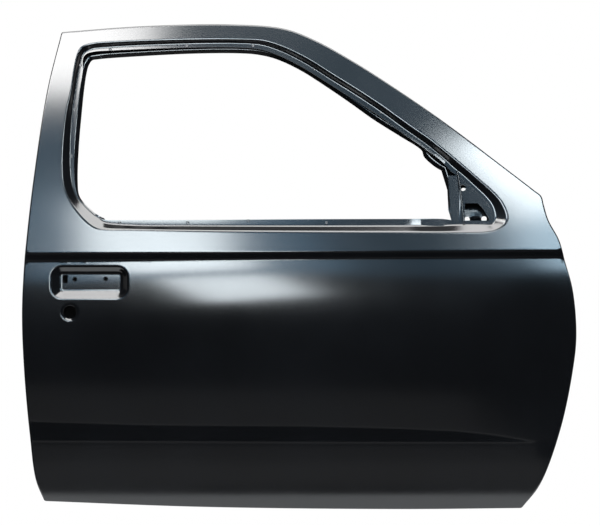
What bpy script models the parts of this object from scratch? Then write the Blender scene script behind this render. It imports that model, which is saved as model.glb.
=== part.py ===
"""Front door shell for the right-hand side of a compact pickup: bare pressed steel under black primer.

X runs to the front of the vehicle, Y inboard and Z up, in metres. The sheets are drawn in door
coordinates, from the rear edge, the outermost line of the skin and the bottom edge. A parent empty
then moves the whole door so that the lower hinge seat is at the origin.
"""
import math

import bmesh
import bpy
import numpy as np
from mathutils import Vector
from mathutils.geometry import delaunay_2d_cdt

# Overall size
DOOR_LENGTH = 1.163
DOOR_HEIGHT = 1.019
BOX_DEPTH = 0.095
FRAME_DEPTH = 0.038

# Sheet gauges, and the gap that welded sheets keep in this model
SKIN_GAUGE = 0.0008
INNER_GAUGE = 0.0008
RUN_GAUGE = 0.0010
BRACKET_GAUGE = 0.0015
HINGE_GAUGE = 0.0022
SEAT_GAP = 0.0003
PRESS_GAP = 0.0007

# Shape of the skin: how far each line lies inboard of the outermost one
CREASE_LIP_INSET = 0.007
CREASE_FOOT_INSET = 0.013
LOWER_LINE_INSET = 0.009
SILL_TUCK = 0.015
PLAN_BOW = 0.014
BELT_LEAN = math.radians(14)
TOP_LEAN = math.radians(20)
LOWER_BAND_LEAN = math.radians(12)
OUTERMOST_SHARE = 0.37
BELT_SHARE = 0.565
BOW_CENTRE_SHARE = 0.45

# Hem around the silhouette, and the inner panel's rim inside it
HEM_RETURN = 0.009
HEM_NOTCH = 0.014
RIM_EDGE_GAP = 0.0005
RIM_WIDTH = 0.0125
RIM_STEP_WIDTH = 0.003
RIM_STEP_DEPTH = 0.006
PAN_WALL_SETBACK = 0.018
HINGE_WALL_SETBACK = 0.0655
LATCH_WALL_SETBACK = 0.0375
SILL_WALL_HEIGHT = 0.034

# Window step
WINDOW_STEP = 0.009
CHANNEL_SETBACK = 0.001
CHANNEL_LIP_GAP = 0.0025
SILL_DROP = 0.004

# Handle recess and lock cup
RECESS_LENGTH = 0.166
RECESS_HEIGHT = 0.0715
RECESS_DEPTH = 0.012
RECESS_CORNER = 0.026
RECESS_FLOOR_LENGTH = 0.130
RECESS_FLOOR_HEIGHT = 0.0403
RECESS_FLOOR_CORNER = 0.006
ROD_SLOT_WIDTH = 0.012
ROD_SLOT_HEIGHT = 0.0205
ROD_SLOT_CORNER = 0.002
HANDLE_HOLE_RADIUS = 0.0050
LOCK_CUP_RADIUS = 0.019
LOCK_HOLE_RADIUS = 0.0138
LOCK_CUP_DEPTH = 0.003

# Hinge, check link and latch seats on the end walls
HINGE_LOW_HEIGHT = 0.185
HINGE_HIGH_HEIGHT = 0.480
HINGE_SEAT_DEPTH = 0.060
HINGE_BOLT_PITCH = 0.044
HINGE_BOLT_HOLE = 0.0055
HINGE_PATCH_HEIGHT = 0.084
HINGE_PATCH_WIDTH = 0.054
HINGE_FOOT_LENGTH = 0.045
HINGE_PAD_HEIGHT = 0.068
SEAT_RISE = 0.0001
TAPPING_HEIGHT = 0.070
TAPPING_WIDTH = 0.032
TAPPING_GAUGE = 0.008
TAPPING_HOLE = 0.0044
CHECK_HEIGHT = 0.345
CHECK_PATCH_HEIGHT = 0.084
CHECK_SLOT_HEIGHT = 0.030
CHECK_SLOT_WIDTH = 0.013
CHECK_BOLT_PITCH = 0.056
CHECK_BOLT_HOLE = 0.0040
CHECK_FOOT_LENGTH = 0.0225
LATCH_HEIGHT = 0.400
LATCH_DEPTH = 0.064
LATCH_SLOT_HEIGHT = 0.056
LATCH_SLOT_WIDTH = 0.026
LATCH_SCREW_PITCH = 0.078
LATCH_SCREW_HOLE = 0.0036
LATCH_PAD_HEIGHT = 0.120
LATCH_PAD_WIDTH = 0.046
LATCH_PATCH_HEIGHT = 0.120
LATCH_PATCH_WIDTH = 0.052
LATCH_FOOT_LENGTH = 0.030
DRAIN_LENGTH = 0.024
DRAIN_WIDTH = 0.008
DRAIN_SETBACK = 0.016
DRAIN_PLACE_SHARES = (0.25, 0.55, 0.80)

# Side impact beam and the pads between it and the skin
BEAM_RADIUS = 0.0125
BEAM_WALL = 0.0025
BEAM_SKIN_GAP = 0.002
BEAM_REAR_HEIGHT = 0.305
BEAM_FRONT_HEIGHT = 0.262
BEAM_END_GAP = 0.012
BEAM_BRACKET_HEIGHT = 0.050
BEAM_BRACKET_REACH = 0.075
BEAM_BRACKET_FOOT = 0.026
PAD_LENGTH = 0.048
PAD_HEIGHT = 0.018
PAD_PLACE_SHARES = (0.27, 0.50, 0.73)

# Glass runs below the belt
RUN_DEPTH = 0.018
RUN_WIDTH = 0.018
RUN_SET_IN = 0.0030
RUN_LOWER_HEIGHT = 0.300
RUN_UPPER_HEIGHT = 0.590
RUN_RAKE = 0.068
RUN_LOWER_SHIFT = 0.011
RUN_BRACKET_HEIGHT = 0.030
RUN_BRACKET_FOOT = 0.028
REAR_RUN_PLACE = 0.112
DIVISION_PLACE = 0.9215
DIVISION_TOP_HEIGHT = 0.700
DIVISION_FACE = 0.020

# Belt reinforcements
BELT_BOX_DEPTH = 0.009
BELT_BOX_DROP = 0.016
BELT_FOOT = 0.012
BELT_END_SETBACK = 0.020
INNER_BELT_HEIGHT = 0.048
INNER_BELT_DEPTH = 0.004
INNER_BELT_LEVEL_SHARES = (0.0, 0.3, 0.7, 1.0)

# Small reinforcements
HANDLE_PLATE_MARGIN = 0.006
HANDLE_PLATE_LEG = 0.006
LOCK_PLATE_SIZE = 0.048
LOCK_PLATE_BORE = 0.021
LOCK_PLATE_CORNER = 0.006
LOCK_PLATE_GAP = 0.0008
PULL_PLATE_LENGTH = 0.150
PULL_PLATE_HEIGHT = 0.040
PULL_PLATE_FLANGE = 0.012
MIRROR_HOLE_RADIUS = 0.0066
MIRROR_PLATE_GAP = 0.0004

# Openings in the inner pressing
SERVICE_CORNER = 0.030
SPEAKER_RADIUS = 0.080
CLIP_HOLE_RADIUS = 0.005
OVERRUN = 0.004

# Mesh fineness
LONGEST_CHORD = 0.075
CHORD_SAG = 0.0007
ROUND_STEPS = 20
HOLE_STEPS = 10
CORNER_STEPS = 4
SILL_STEPS = 7
SLOPE_STEP = 0.0035

# Silhouette, counter-clockwise from the bottom rear corner: shares of length and height, 1 if sharp
SILHOUETTE_SHARES = (
    (0.0403, 0.0165, 1), (0.3210, 0.0047, 0), (0.6820, 0.0000, 0), (0.9013, 0.0021, 1),
    (0.9347, 0.0513, 0), (0.9709, 0.1628, 0), (0.9937, 0.2864, 0), (1.0000, 0.3585, 0),
    (0.9935, 0.4513, 0), (0.9789, 0.5131, 0), (0.9690, 0.5543, 0), (0.9498, 0.5955, 0),
    (0.9412, 0.6280, 0), (0.9370, 0.6450, 0), (0.9238, 0.6573, 0), (0.8769, 0.6985, 0),
    (0.7576, 0.8016, 0), (0.6523, 0.8840, 0), (0.5951, 0.9252, 0), (0.5301, 0.9664, 0),
    (0.4726, 0.9911, 0), (0.3751, 1.0000, 0), (0.2126, 0.9961, 0), (0.0700, 0.9840, 1),
    (0.0444, 0.8634, 0), (0.0200, 0.6779, 0), (0.0078, 0.5543, 0), (0.0032, 0.4925, 0),
    (0.0000, 0.3998, 0), (0.0038, 0.2864, 0), (0.0141, 0.1525, 0), (0.0249, 0.0598, 0),
)

# Window, counter-clockwise from the lower rear corner: the skin's face edge, the lip edge across from
# it, and the shares of the way between them where the step wall and the welded flange end
WINDOW_SHARES = (
    (0.1511, 0.5774, 0.1504, 0.5988, 0.67, 0.97), (0.1946, 0.5770, 0.1946, 0.5974, 0.45, 1.00),
    (0.3209, 0.5739, 0.3209, 0.5978, 0.48, 1.00), (0.5014, 0.5718, 0.5014, 0.5992, 0.49, 1.00),
    (0.6819, 0.5708, 0.6819, 0.5998, 0.52, 1.00), (0.7614, 0.5708, 0.7614, 0.5996, 0.54, 1.00),
    (0.7939, 0.5710, 0.7939, 0.5939, 0.74, 1.00), (0.8323, 0.5716, 0.8300, 0.5939, 0.73, 1.00),
    (0.8572, 0.5776, 0.8419, 0.5945, 0.62, 1.00), (0.8697, 0.5871, 0.8468, 0.5996, 0.75, 1.00),
    (0.8749, 0.6007, 0.8491, 0.6075, 0.79, 1.00), (0.8655, 0.6295, 0.8440, 0.6252, 0.70, 1.00),
    (0.8509, 0.6491, 0.8350, 0.6382, 0.60, 1.00), (0.8264, 0.6736, 0.8159, 0.6602, 0.54, 1.00),
    (0.7940, 0.7055, 0.7834, 0.6913, 0.46, 1.00), (0.7758, 0.7231, 0.7567, 0.6975, 0.24, 0.54),
    (0.7433, 0.7533, 0.7245, 0.7276, 0.22, 0.53), (0.7379, 0.7583, 0.7224, 0.7373, 0.27, 0.65),
    (0.6975, 0.7906, 0.6832, 0.7676, 0.25, 0.65), (0.6684, 0.8143, 0.6585, 0.7851, 0.21, 0.56),
    (0.6513, 0.8286, 0.6332, 0.8036, 0.20, 0.54), (0.6054, 0.8630, 0.5913, 0.8378, 0.20, 0.58),
    (0.5592, 0.8959, 0.5466, 0.8727, 0.22, 0.62), (0.5132, 0.9287, 0.5014, 0.9052, 0.22, 0.63),
    (0.4671, 0.9538, 0.4590, 0.9277, 0.18, 0.58), (0.4329, 0.9652, 0.4274, 0.9367, 0.14, 0.50),
    (0.3931, 0.9676, 0.3922, 0.9400, 0.11, 0.46), (0.3029, 0.9674, 0.3029, 0.9392, 0.11, 0.44),
    (0.1585, 0.9613, 0.1621, 0.9304, 0.12, 0.40), (0.1238, 0.9578, 0.1368, 0.9277, 0.15, 0.38),
    (0.1078, 0.9512, 0.1251, 0.9252, 0.20, 0.38), (0.1020, 0.9419, 0.1199, 0.9170, 0.22, 0.38),
    (0.0962, 0.9157, 0.1157, 0.9015, 0.28, 0.50), (0.0895, 0.8634, 0.1108, 0.8634, 0.34, 0.60),
    (0.0807, 0.8187, 0.1069, 0.8181, 0.36, 0.62), (0.0747, 0.7628, 0.1027, 0.7628, 0.39, 0.66),
    (0.0727, 0.7088, 0.1002, 0.7088, 0.47, 0.74), (0.0755, 0.6676, 0.1000, 0.6728, 0.58, 0.80),
    (0.0845, 0.6398, 0.1022, 0.6478, 0.74, 0.87), (0.0982, 0.6153, 0.1119, 0.6301, 0.88, 0.95),
    (0.1159, 0.5930, 0.1289, 0.6120, 0.88, 0.95), (0.1316, 0.5807, 0.1401, 0.6033, 0.88, 0.95),
)
RUN_FIRST_ROW = 15
BELT_FIRST_ROW = 1
BELT_LAST_ROW = 5
DIVISION_EDGE_SHARES = ((0.7675, 0.6573), (0.7693, 0.6161), (0.7758, 0.5940))

# Lines across the skin: shares of length and height
CREASE_TOP_SHARES = ((0.0, 0.5267), (0.5, 0.5288), (1.0, 0.5330))
CREASE_FOOT_SHARES = ((0.0, 0.5104), (0.5, 0.5165), (1.0, 0.5195))
LOWER_TOP_SHARES = ((0.0, 0.1810), (0.2361, 0.1731), (0.5123, 0.1710), (0.6740, 0.1665),
                    (0.7776, 0.1613), (0.8468, 0.1535), (0.9329, 0.1370), (1.0, 0.1340))
LOWER_FOOT_SHARES = ((0.0, 0.1401), (0.5, 0.1376), (0.9329, 0.1370), (1.0, 0.1340))
SKIN_LINES = (CREASE_TOP_SHARES, CREASE_FOOT_SHARES, LOWER_TOP_SHARES, LOWER_FOOT_SHARES)
SKIN_ROW_SHARES = (0.065, 0.215, 0.265, 0.315, 0.37, 0.42, 0.455, 0.487, 0.552)
SKIN_COLUMN_SHARES = (0.09, 0.18, 0.27, 0.36, 0.45, 0.54, 0.63, 0.72, 0.81, 0.89)
PILLAR_SHARES = ((0.905, 0.59), (0.895, 0.64), (0.045, 0.70), (0.037, 0.60), (0.06, 0.585))

# Features on the skin and the inner pressing: shares of length and height
RECESS_PLACE_SHARE = (0.1213, 0.4670)
RECESS_FLOOR_SHARE = (0.1246, 0.4692)
ROD_SLOT_SHARE = (0.0771, 0.4770)
HANDLE_HOLE_SHARES = ((0.0951, 0.4752), (0.1507, 0.4760))
LOCK_PLACE_SHARE = (0.0863, 0.4059)
MIRROR_HOLE_SHARE = (0.7957, 0.6645)
MIRROR_PLATE_SHARES = ((0.7888, 0.5880), (0.8440, 0.5880), (0.8560, 0.5960), (0.8580, 0.6120),
                       (0.8450, 0.6390), (0.8080, 0.6790), (0.7888, 0.6985))
MIRROR_WINDOW_SHARES = ((0.7990, 0.5968), (0.8425, 0.5968), (0.8425, 0.6008), (0.8312, 0.6236),
                        (0.8227, 0.6326), (0.7990, 0.6326))
INNER_MIRROR_HOLE_SHARES = ((0.7965, 0.6560), (0.8030, 0.5965), (0.8336, 0.5975))
SERVICE_SHARES = (0.225, 0.200, 0.560, 0.435)
FRONT_SERVICE_SHARES = (0.615, 0.330, 0.745, 0.475)
REAR_ACCESS_SHARES = (0.105, 0.345, 0.175, 0.435)
SPEAKER_SHARE = (0.800, 0.200)
CLIP_HOLE_SHARES = ((0.10, 0.10), (0.30, 0.08), (0.50, 0.08), (0.68, 0.08), (0.875, 0.32), (0.90, 0.45),
                    (0.075, 0.22), (0.075, 0.46), (0.30, 0.495), (0.60, 0.495), (0.70, 0.495), (0.65, 0.27))
PULL_PLACE_SHARE = (0.47, 0.468)
INNER_ROW_SHARES = (0.530, 0.565, 0.600, 0.64)
INNER_COLUMN_SHARES = (0.06, 0.13, 0.20, 0.27, 0.34, 0.41, 0.48, 0.55, 0.62, 0.69, 0.76, 0.83, 0.90)
RAMP_SHARES = (0.530, 0.600)

# The hem wraps the inner rim: skin, gap, rim, gap, skin
HEM_DEPTH = 2 * SKIN_GAUGE + INNER_GAUGE + 2 * SEAT_GAP
HEM_RADIUS = HEM_DEPTH / 2
RIM_DEPTH = SKIN_GAUGE + SEAT_GAP
HINGE_WALL = DOOR_LENGTH - HINGE_WALL_SETBACK
LATCH_WALL = LATCH_WALL_SETBACK
BELT_HEIGHT = BELT_SHARE * DOOR_HEIGHT
ORIGIN = Vector((HINGE_WALL + INNER_GAUGE, HINGE_SEAT_DEPTH, HINGE_LOW_HEIGHT))

OUTBOARD, INBOARD = Vector((0, -1, 0)), Vector((0, 1, 0))
FORWARD, REARWARD = Vector((1, 0, 0)), Vector((-1, 0, 0))


def point(share):
    return Vector((share[0] * DOOR_LENGTH, share[1] * DOOR_HEIGHT))


def line_height(shares, x):
    places, heights = zip(*shares)
    return float(np.interp(x / DOOR_LENGTH, places, heights)) * DOOR_HEIGHT


def skin_y(x, z):
    """Depth of the skin's outer face below its outermost line, with the crease and the lower band."""
    top, foot = line_height(CREASE_TOP_SHARES, x), line_height(CREASE_FOOT_SHARES, x)
    low_top, low_foot = line_height(LOWER_TOP_SHARES, x), line_height(LOWER_FOOT_SHARES, x)
    outermost = OUTERMOST_SHARE * DOOR_HEIGHT
    half = (x / DOOR_LENGTH - BOW_CENTRE_SHARE) / (1 - BOW_CENTRE_SHARE)
    bow = PLAN_BOW * half * half
    if z > top:
        y = CREASE_LIP_INSET + (min(z, BELT_HEIGHT) - top) * math.tan(BELT_LEAN)
        if z > BELT_HEIGHT:
            rise, run = z - BELT_HEIGHT, DOOR_HEIGHT - BELT_HEIGHT
            curl = (math.tan(TOP_LEAN) - math.tan(BELT_LEAN)) / 2
            y += rise * (math.tan(BELT_LEAN) + curl * rise / run)
    elif z > foot:
        y = CREASE_FOOT_INSET + (CREASE_LIP_INSET - CREASE_FOOT_INSET) * (z - foot) / (top - foot)
    elif z > outermost:
        y = CREASE_FOOT_INSET * ((z - outermost) / (foot - outermost)) ** 2
    elif z > low_top:
        y = LOWER_LINE_INSET * ((outermost - z) / (outermost - low_top)) ** 2
    else:
        y = LOWER_LINE_INSET + math.tan(LOWER_BAND_LEAN) * (low_top - max(z, low_foot))
        if z < low_foot:
            y += SILL_TUCK * ((low_foot - z) / low_foot) ** 1.5
    return y + bow


def lift(flat, depth=0.0):
    """Places a point of the side view on the skin's outer face, then moves it inboard by a depth."""
    x, z = flat
    slope_x = (skin_y(x + SLOPE_STEP, z) - skin_y(x - SLOPE_STEP, z)) / (2 * SLOPE_STEP)
    slope_z = (skin_y(x, z + SLOPE_STEP) - skin_y(x, z - SLOPE_STEP)) / (2 * SLOPE_STEP)
    inboard = Vector((-slope_x, 1, -slope_z)).normalized()
    return Vector((x, skin_y(x, z), z)) + inboard * depth


def inner_y(x, z):
    """Depth of the inner pressing's cavity side: a flat box below the belt, a thin frame above it."""
    low, high = (share * DOOR_HEIGHT for share in RAMP_SHARES)
    t = min(max((z - low) / (high - low), 0), 1)
    return BOX_DEPTH * (1 - t) + (skin_y(x, max(z, high)) + FRAME_DEPTH) * t


def lift_inner(flat):
    return Vector((flat[0], inner_y(*flat), flat[1]))


def spline(a, b, c, d, t):
    """Point at share t of the way from row b to row c on a centripetal curve through four rows."""
    knots = [0.0]
    for first, second in ((a, b), (b, c), (c, d)):
        knots.append(knots[-1] + math.sqrt(math.hypot(*(second - first)[:2])))
    at = knots[1] + (knots[2] - knots[1]) * t

    def mix(p, q, lo, hi):
        return p + (q - p) * ((at - lo) / (hi - lo))

    k0, k1, k2, k3 = knots
    ab, bc, cd = mix(a, b, k0, k1), mix(b, c, k1, k2), mix(c, d, k2, k3)
    return mix(mix(ab, bc, k0, k2), mix(bc, cd, k1, k3), k1, k2)


def trace(rows, sharp=(), closed=True):
    """Rows on a smooth curve through the given rows, close enough to follow it within the sag."""
    rows = [np.array(row, float) for row in rows]
    scale = np.array((DOOR_LENGTH, DOOR_HEIGHT))
    count, traced = len(rows), []
    for i in range(count if closed else count - 1):
        b, c = rows[i], rows[(i + 1) % count]
        lone_start = i in sharp or (not closed and i == 0)
        lone_end = (i + 1) % count in sharp or (not closed and i == count - 2)
        a = 2 * b - c if lone_start else rows[i - 1]
        d = 2 * c - b if lone_end else rows[(i + 2) % count]
        middle = spline(a, b, c, d, 0.5)
        sag = math.hypot(*((middle - (b + c) / 2)[:2] * scale))
        length = math.hypot(*((c - b)[:2] * scale))
        pieces = max(1, math.ceil(length / LONGEST_CHORD), math.ceil(math.sqrt(sag / CHORD_SAG)))
        traced += [spline(a, b, c, d, k / pieces) for k in range(pieces)]
    return traced if closed else traced + [rows[-1]]


def crossing(a, b, shares):
    """Point where a side of the silhouette meets a line across the skin, or None."""
    gap_a = a.y - line_height(shares, a.x)
    gap_b = b.y - line_height(shares, b.x)
    return a.lerp(b, gap_a / (gap_a - gap_b)) if gap_a * gap_b < 0 else None


def silhouette(notched):
    """Closed outline of the door in the side view, its sharp corners, and which points lie on lines."""
    sharp = [i for i, row in enumerate(SILHOUETTE_SHARES) if row[2]]
    traced = [point(row) for row in trace(SILHOUETTE_SHARES, sharp)]
    corners = [point(SILHOUETTE_SHARES[i]) for i in sharp]
    rows = []
    for a, b in zip(traced, traced[1:] + traced[:1]):
        between = [(crossing(a, b, shares), shares) for shares in SKIN_LINES]
        if notched and a in corners:
            between.append((a.lerp(b, HEM_NOTCH / (b - a).length), None))
        if notched and b in corners:
            between.append((b.lerp(a, HEM_NOTCH / (b - a).length), None))
        found = [pair for pair in between if pair[0]]
        rows += [(a, None), *sorted(found, key=lambda pair: (pair[0] - a).length)]
    crossings = [place for place, shares in rows if shares]
    loop, pinned = [], {}
    for place, shares in rows:
        near = min((place - other).length for other in crossings + loop[-1:] if other is not place)
        if shares and (not loop or (place - loop[-1]).length > HEM_RADIUS):
            pinned[len(loop)] = shares
            loop.append(place)
        elif not shares and (place in corners or near > HEM_NOTCH / 2):
            loop.append(place)
    return loop, corners, pinned


def inset(loop, distance, pinned=()):
    """Moves every side of a counter-clockwise loop inwards; pinned points stay on their skin line."""
    moved = []
    for i, here in enumerate(loop):
        first = (here - loop[i - 1]).normalized()
        second = (loop[(i + 1) % len(loop)] - here).normalized()
        middle = Vector((-first.y - second.y, first.x + second.x))
        place = here + middle * (2 * distance / middle.length_squared)
        if i in pinned:
            place += second * ((line_height(pinned[i], place.x) - place.y) / second.y)
        moved.append(place)
    return moved


def rounded_box(centre, width, height, corner):
    """Counter-clockwise rectangle with round corners."""
    loop = []
    for turn in range(4):
        sign_x, sign_y = ((1, -1), (1, 1), (-1, 1), (-1, -1))[turn]
        hub = centre + Vector((sign_x * (width / 2 - corner), sign_y * (height / 2 - corner)))
        for step in range(CORNER_STEPS + 1):
            angle = math.radians(90) * (turn - 1 + step / CORNER_STEPS)
            loop.append(hub + Vector((math.cos(angle), math.sin(angle))) * corner)
    return loop


def circle(centre, radius, steps=ROUND_STEPS):
    angles = [math.tau * (step + 0.5) / steps for step in range(steps)]
    return [centre + Vector((math.cos(a), math.sin(a))) * radius for a in angles]


def box_between(shares, corner):
    low, high = point(shares[:2]), point(shares[2:])
    return rounded_box((low + high) / 2, high.x - low.x, high.y - low.y, corner)


def inside(flat, loop):
    hit = False
    for a, b in zip(loop, loop[1:] + loop[:1]):
        if (a.y > flat.y) != (b.y > flat.y):
            if flat.x < a.x + (b.x - a.x) * (flat.y - a.y) / (b.y - a.y):
                hit = not hit
    return hit


def clearance(flat, loop):
    """Distance from a point to the nearest side of a loop."""
    best = DOOR_LENGTH
    for a, b in zip(loop, loop[1:] + loop[:1]):
        along = min(max((flat - a).dot(b - a) / (b - a).length_squared, 0), 1)
        best = min(best, (flat - a.lerp(b, along)).length)
    return best


def ring(bm, places):
    return [bm.verts.new(place) for place in places]


def strip(bm, first, second, closed=True, skip=()):
    """Joins two rows of vertices with triangles, leaving out the sides whose numbers are in skip."""
    count = len(first)
    for i in range(count if closed else count - 1):
        j = (i + 1) % count
        if i not in skip:
            bm.faces.new((first[i], first[j], second[j]))
            bm.faces.new((first[i], second[j], second[i]))


def fill(bm, outer, holes=(), lines=(), extra=(), view=(0, 2)):
    """Faces the area between a ring of vertices and its holes, through any lines and extra points."""
    order = list(dict.fromkeys(v for row in (outer, *holes, *lines, extra) for v in row))
    number = {vert: i for i, vert in enumerate(order)}
    edges = []
    for loop in (outer, *holes):
        edges += [(number[a], number[b]) for a, b in zip(loop, loop[1:] + loop[:1])]
    for line in lines:
        edges += [(number[a], number[b]) for a, b in zip(line, line[1:])]
    flat = [Vector((v.co[view[0]], v.co[view[1]])) for v in order]
    places, _, faces, sources, _, _ = delaunay_2d_cdt(flat, edges, [], 1, SEAT_GAP / 100)
    outlines = [[flat[number[v]] for v in loop] for loop in (outer, *holes)]
    for face in faces:
        centre = sum((places[i] for i in face), Vector((0, 0))) / len(face)
        if inside(centre, outlines[0]) and not any(inside(centre, hole) for hole in outlines[1:]):
            bm.faces.new([order[sources[i][0]] for i in face])


def grid(columns, rows, outer, holes, margin):
    """Grid points that keep a margin to the outline and to every hole."""
    places = [point((u, v)) for v in rows for u in columns]
    return [p for p in places if inside(p, outer) and clearance(p, outer) > margin
            and all(clearance(p, hole) > margin and not inside(p, hole) for hole in holes)]


def material(name, colour, roughness, metallic):
    paint = bpy.data.materials.get(name) or bpy.data.materials.new(name)
    paint.use_nodes = True
    shader = paint.node_tree.nodes["Principled BSDF"]
    shader.inputs["Base Color"].default_value = (*colour, 1)
    shader.inputs["Roughness"].default_value = roughness
    shader.inputs["Metallic"].default_value = metallic
    paint.diffuse_color = (*colour, 1)
    return paint


def primer(name):
    return material(name + "_primer", (0.012, 0.014, 0.018), 0.32, 0.0)


def make(name, bm, paint=None):
    """Turns a mesh in door coordinates into a named object under the door's empty."""
    mesh = bpy.data.meshes.new(name)
    bm.to_mesh(mesh)
    bm.free()
    mesh.materials.append(paint or primer(name))
    thing = bpy.data.objects.new(name, mesh)
    bpy.context.collection.objects.link(thing)
    thing.parent = bpy.data.objects["door_frame"]
    return thing


def sheet(name, bm, gauge, facing):
    """Thickens an open surface away from the side it faces."""
    bmesh.ops.recalc_face_normals(bm, faces=bm.faces)
    if sum(face.calc_area() * face.normal.dot(facing) for face in bm.faces) < 0:
        bmesh.ops.reverse_faces(bm, faces=bm.faces)
    thing = make(name, bm)
    thicken = thing.modifiers.new("gauge", "SOLIDIFY")
    thicken.thickness = gauge
    thicken.offset = -1
    thicken.use_even_offset = True
    thicken.use_quality_normals = True
    return thing


def cut(thing, name, *shapes, operation="DIFFERENCE"):
    """Cuts holes through an object, or adds to it, with one hidden guide of blocks and rods."""
    bm = bmesh.new()
    for shape in shapes:
        shape(bm)
    guide = make(name, bm)
    guide.hide_render = True
    guide.display_type = "WIRE"
    boolean = thing.modifiers.new(name, "BOOLEAN")
    boolean.operation = operation
    boolean.object = guide


def block(low, high):
    """Cutter: a box between two corners."""
    def build(bm):
        made = bmesh.ops.create_cube(bm, size=1)["verts"]
        for vert in made:
            share = vert.co + Vector((0.5, 0.5, 0.5))
            vert.co = Vector(lo + (hi - lo) * s for lo, hi, s in zip(low, high, share))
    return build


def rod(centre, radius, length, axis):
    """Cutter: a round rod about an axis through its centre."""
    def build(bm):
        made = bmesh.ops.create_cone(bm, cap_ends=True, segments=HOLE_STEPS, radius1=radius,
                                     radius2=radius, depth=length)["verts"]
        turn = Vector((0, 0, 1)).rotation_difference(axis)
        for vert in made:
            vert.co = turn @ vert.co + centre
    return build


def folded(name, lines, gauge, facing, closed=False):
    """Bent sheet: each line is a row of places along the sheet, one line for each bend and edge."""
    bm = bmesh.new()
    rows = [ring(bm, line) for line in lines]
    for first, second in zip(rows, rows[1:]):
        strip(bm, first, second, closed)
    return sheet(name, bm, gauge, facing)


def cross_line(bm, shares, start, end):
    """Vertices along a line across the skin, from one hem vertex to the other."""
    columns = [u * DOOR_LENGTH for u in SKIN_COLUMN_SHARES]
    inner = [x for x in columns if start.co.x + OVERRUN < x < end.co.x - OVERRUN]
    return [start, *ring(bm, [lift((x, line_height(shares, x))) for x in inner]), end]


def nearest(verts, shares, rear):
    """The hem vertex, on the rear or the front half, that lies on a line across the skin."""
    half = [v for v in verts if (v.co.x < DOOR_LENGTH / 2) == rear]
    return min(half, key=lambda v: abs(v.co.z - line_height(shares, v.co.x)))


def window_loops():
    """The traced window: face edge, step foot, flange edge and lip edge, side by side."""
    loops = [[], [], [], []]
    for row in trace(WINDOW_SHARES):
        face, lip = point(row[0:2]), point(row[2:4])
        for loop, share in zip(loops, (0, row[4], row[5], 1)):
            loop.append(face.lerp(lip, share))
    return loops


def window_number(row):
    """Number of the traced window point at a row of the window's table."""
    target = point(WINDOW_SHARES[row])
    face = window_loops()[0]
    return min(range(len(face)), key=lambda i: (face[i] - target).length)


def outer_panel():
    """Skin with its hem, window step, handle recess and lock cup, all one pressing."""
    bm = bmesh.new()
    outline, corners, pinned = silhouette(notched=True)
    corner_numbers = [outline.index(corner) for corner in corners]
    skip = {n for i in corner_numbers for n in ((i - 1) % len(outline), i)}
    edge = ring(bm, [lift(p) for p in inset(outline, HEM_RADIUS, pinned)])
    apex = ring(bm, [lift(p, HEM_RADIUS) for p in outline])
    back = ring(bm, [lift(p, HEM_DEPTH) for p in inset(outline, HEM_RADIUS, pinned)])
    hem_end = inset(outline, HEM_RADIUS + HEM_RETURN, pinned)
    margin_line = inset(outline, RIM_WIDTH, pinned)
    margin = ring(bm, [lift(p) for p in margin_line])
    strip(bm, edge, margin)
    strip(bm, edge, apex)
    strip(bm, apex, back)
    returned = [None if i in corner_numbers else bm.verts.new(lift(p, HEM_DEPTH))
                for i, p in enumerate(hem_end)]
    strip(bm, back, returned, skip=skip)

    face, foot, flange, _ = window_loops()
    window = [ring(bm, [lift(p, depth) for p in loop])
              for loop, depth in ((face, 0), (foot, WINDOW_STEP), (flange, WINDOW_STEP))]
    strip(bm, window[0], window[1])
    strip(bm, window[1], window[2])

    rim = rounded_box(point(RECESS_PLACE_SHARE), RECESS_LENGTH, RECESS_HEIGHT, RECESS_CORNER)
    floor = rounded_box(point(RECESS_FLOOR_SHARE), RECESS_FLOOR_LENGTH, RECESS_FLOOR_HEIGHT,
                        RECESS_FLOOR_CORNER)
    rim_ring = ring(bm, [lift(p) for p in rim])
    floor_ring = ring(bm, [lift(p, RECESS_DEPTH) for p in floor])
    strip(bm, rim_ring, floor_ring)
    floor_holes = [ring(bm, [lift(p, RECESS_DEPTH) for p in loop]) for loop in recess_holes()]
    fill(bm, floor_ring, floor_holes)

    lock = point(LOCK_PLACE_SHARE)
    cup_ring = ring(bm, [lift(p) for p in circle(lock, LOCK_CUP_RADIUS)])
    lock_ring = ring(bm, [lift(p, LOCK_CUP_DEPTH) for p in circle(lock, LOCK_HOLE_RADIUS)])
    strip(bm, cup_ring, lock_ring)

    ends = [(nearest(margin, shares, True), nearest(margin, shares, False))
            for shares in (CREASE_TOP_SHARES, CREASE_FOOT_SHARES, LOWER_FOOT_SHARES)]
    lines = [cross_line(bm, shares, *pair) for shares, pair
             in zip((CREASE_TOP_SHARES, CREASE_FOOT_SHARES, LOWER_FOOT_SHARES), ends)]
    lines.append(lower_top_line(bm, nearest(margin, LOWER_TOP_SHARES, True), lines[-1]))
    holes = [face, rim, circle(lock, LOCK_CUP_RADIUS)]
    places = grid(SKIN_COLUMN_SHARES, SKIN_ROW_SHARES, margin_line, holes, RECESS_DEPTH)
    places += [point(share) for share in PILLAR_SHARES]
    extra = ring(bm, [lift(p) for p in places])
    fill(bm, margin, [window[0], rim_ring, cup_ring], lines, extra)
    return sheet("outer_panel", bm, SKIN_GAUGE, OUTBOARD)


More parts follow.
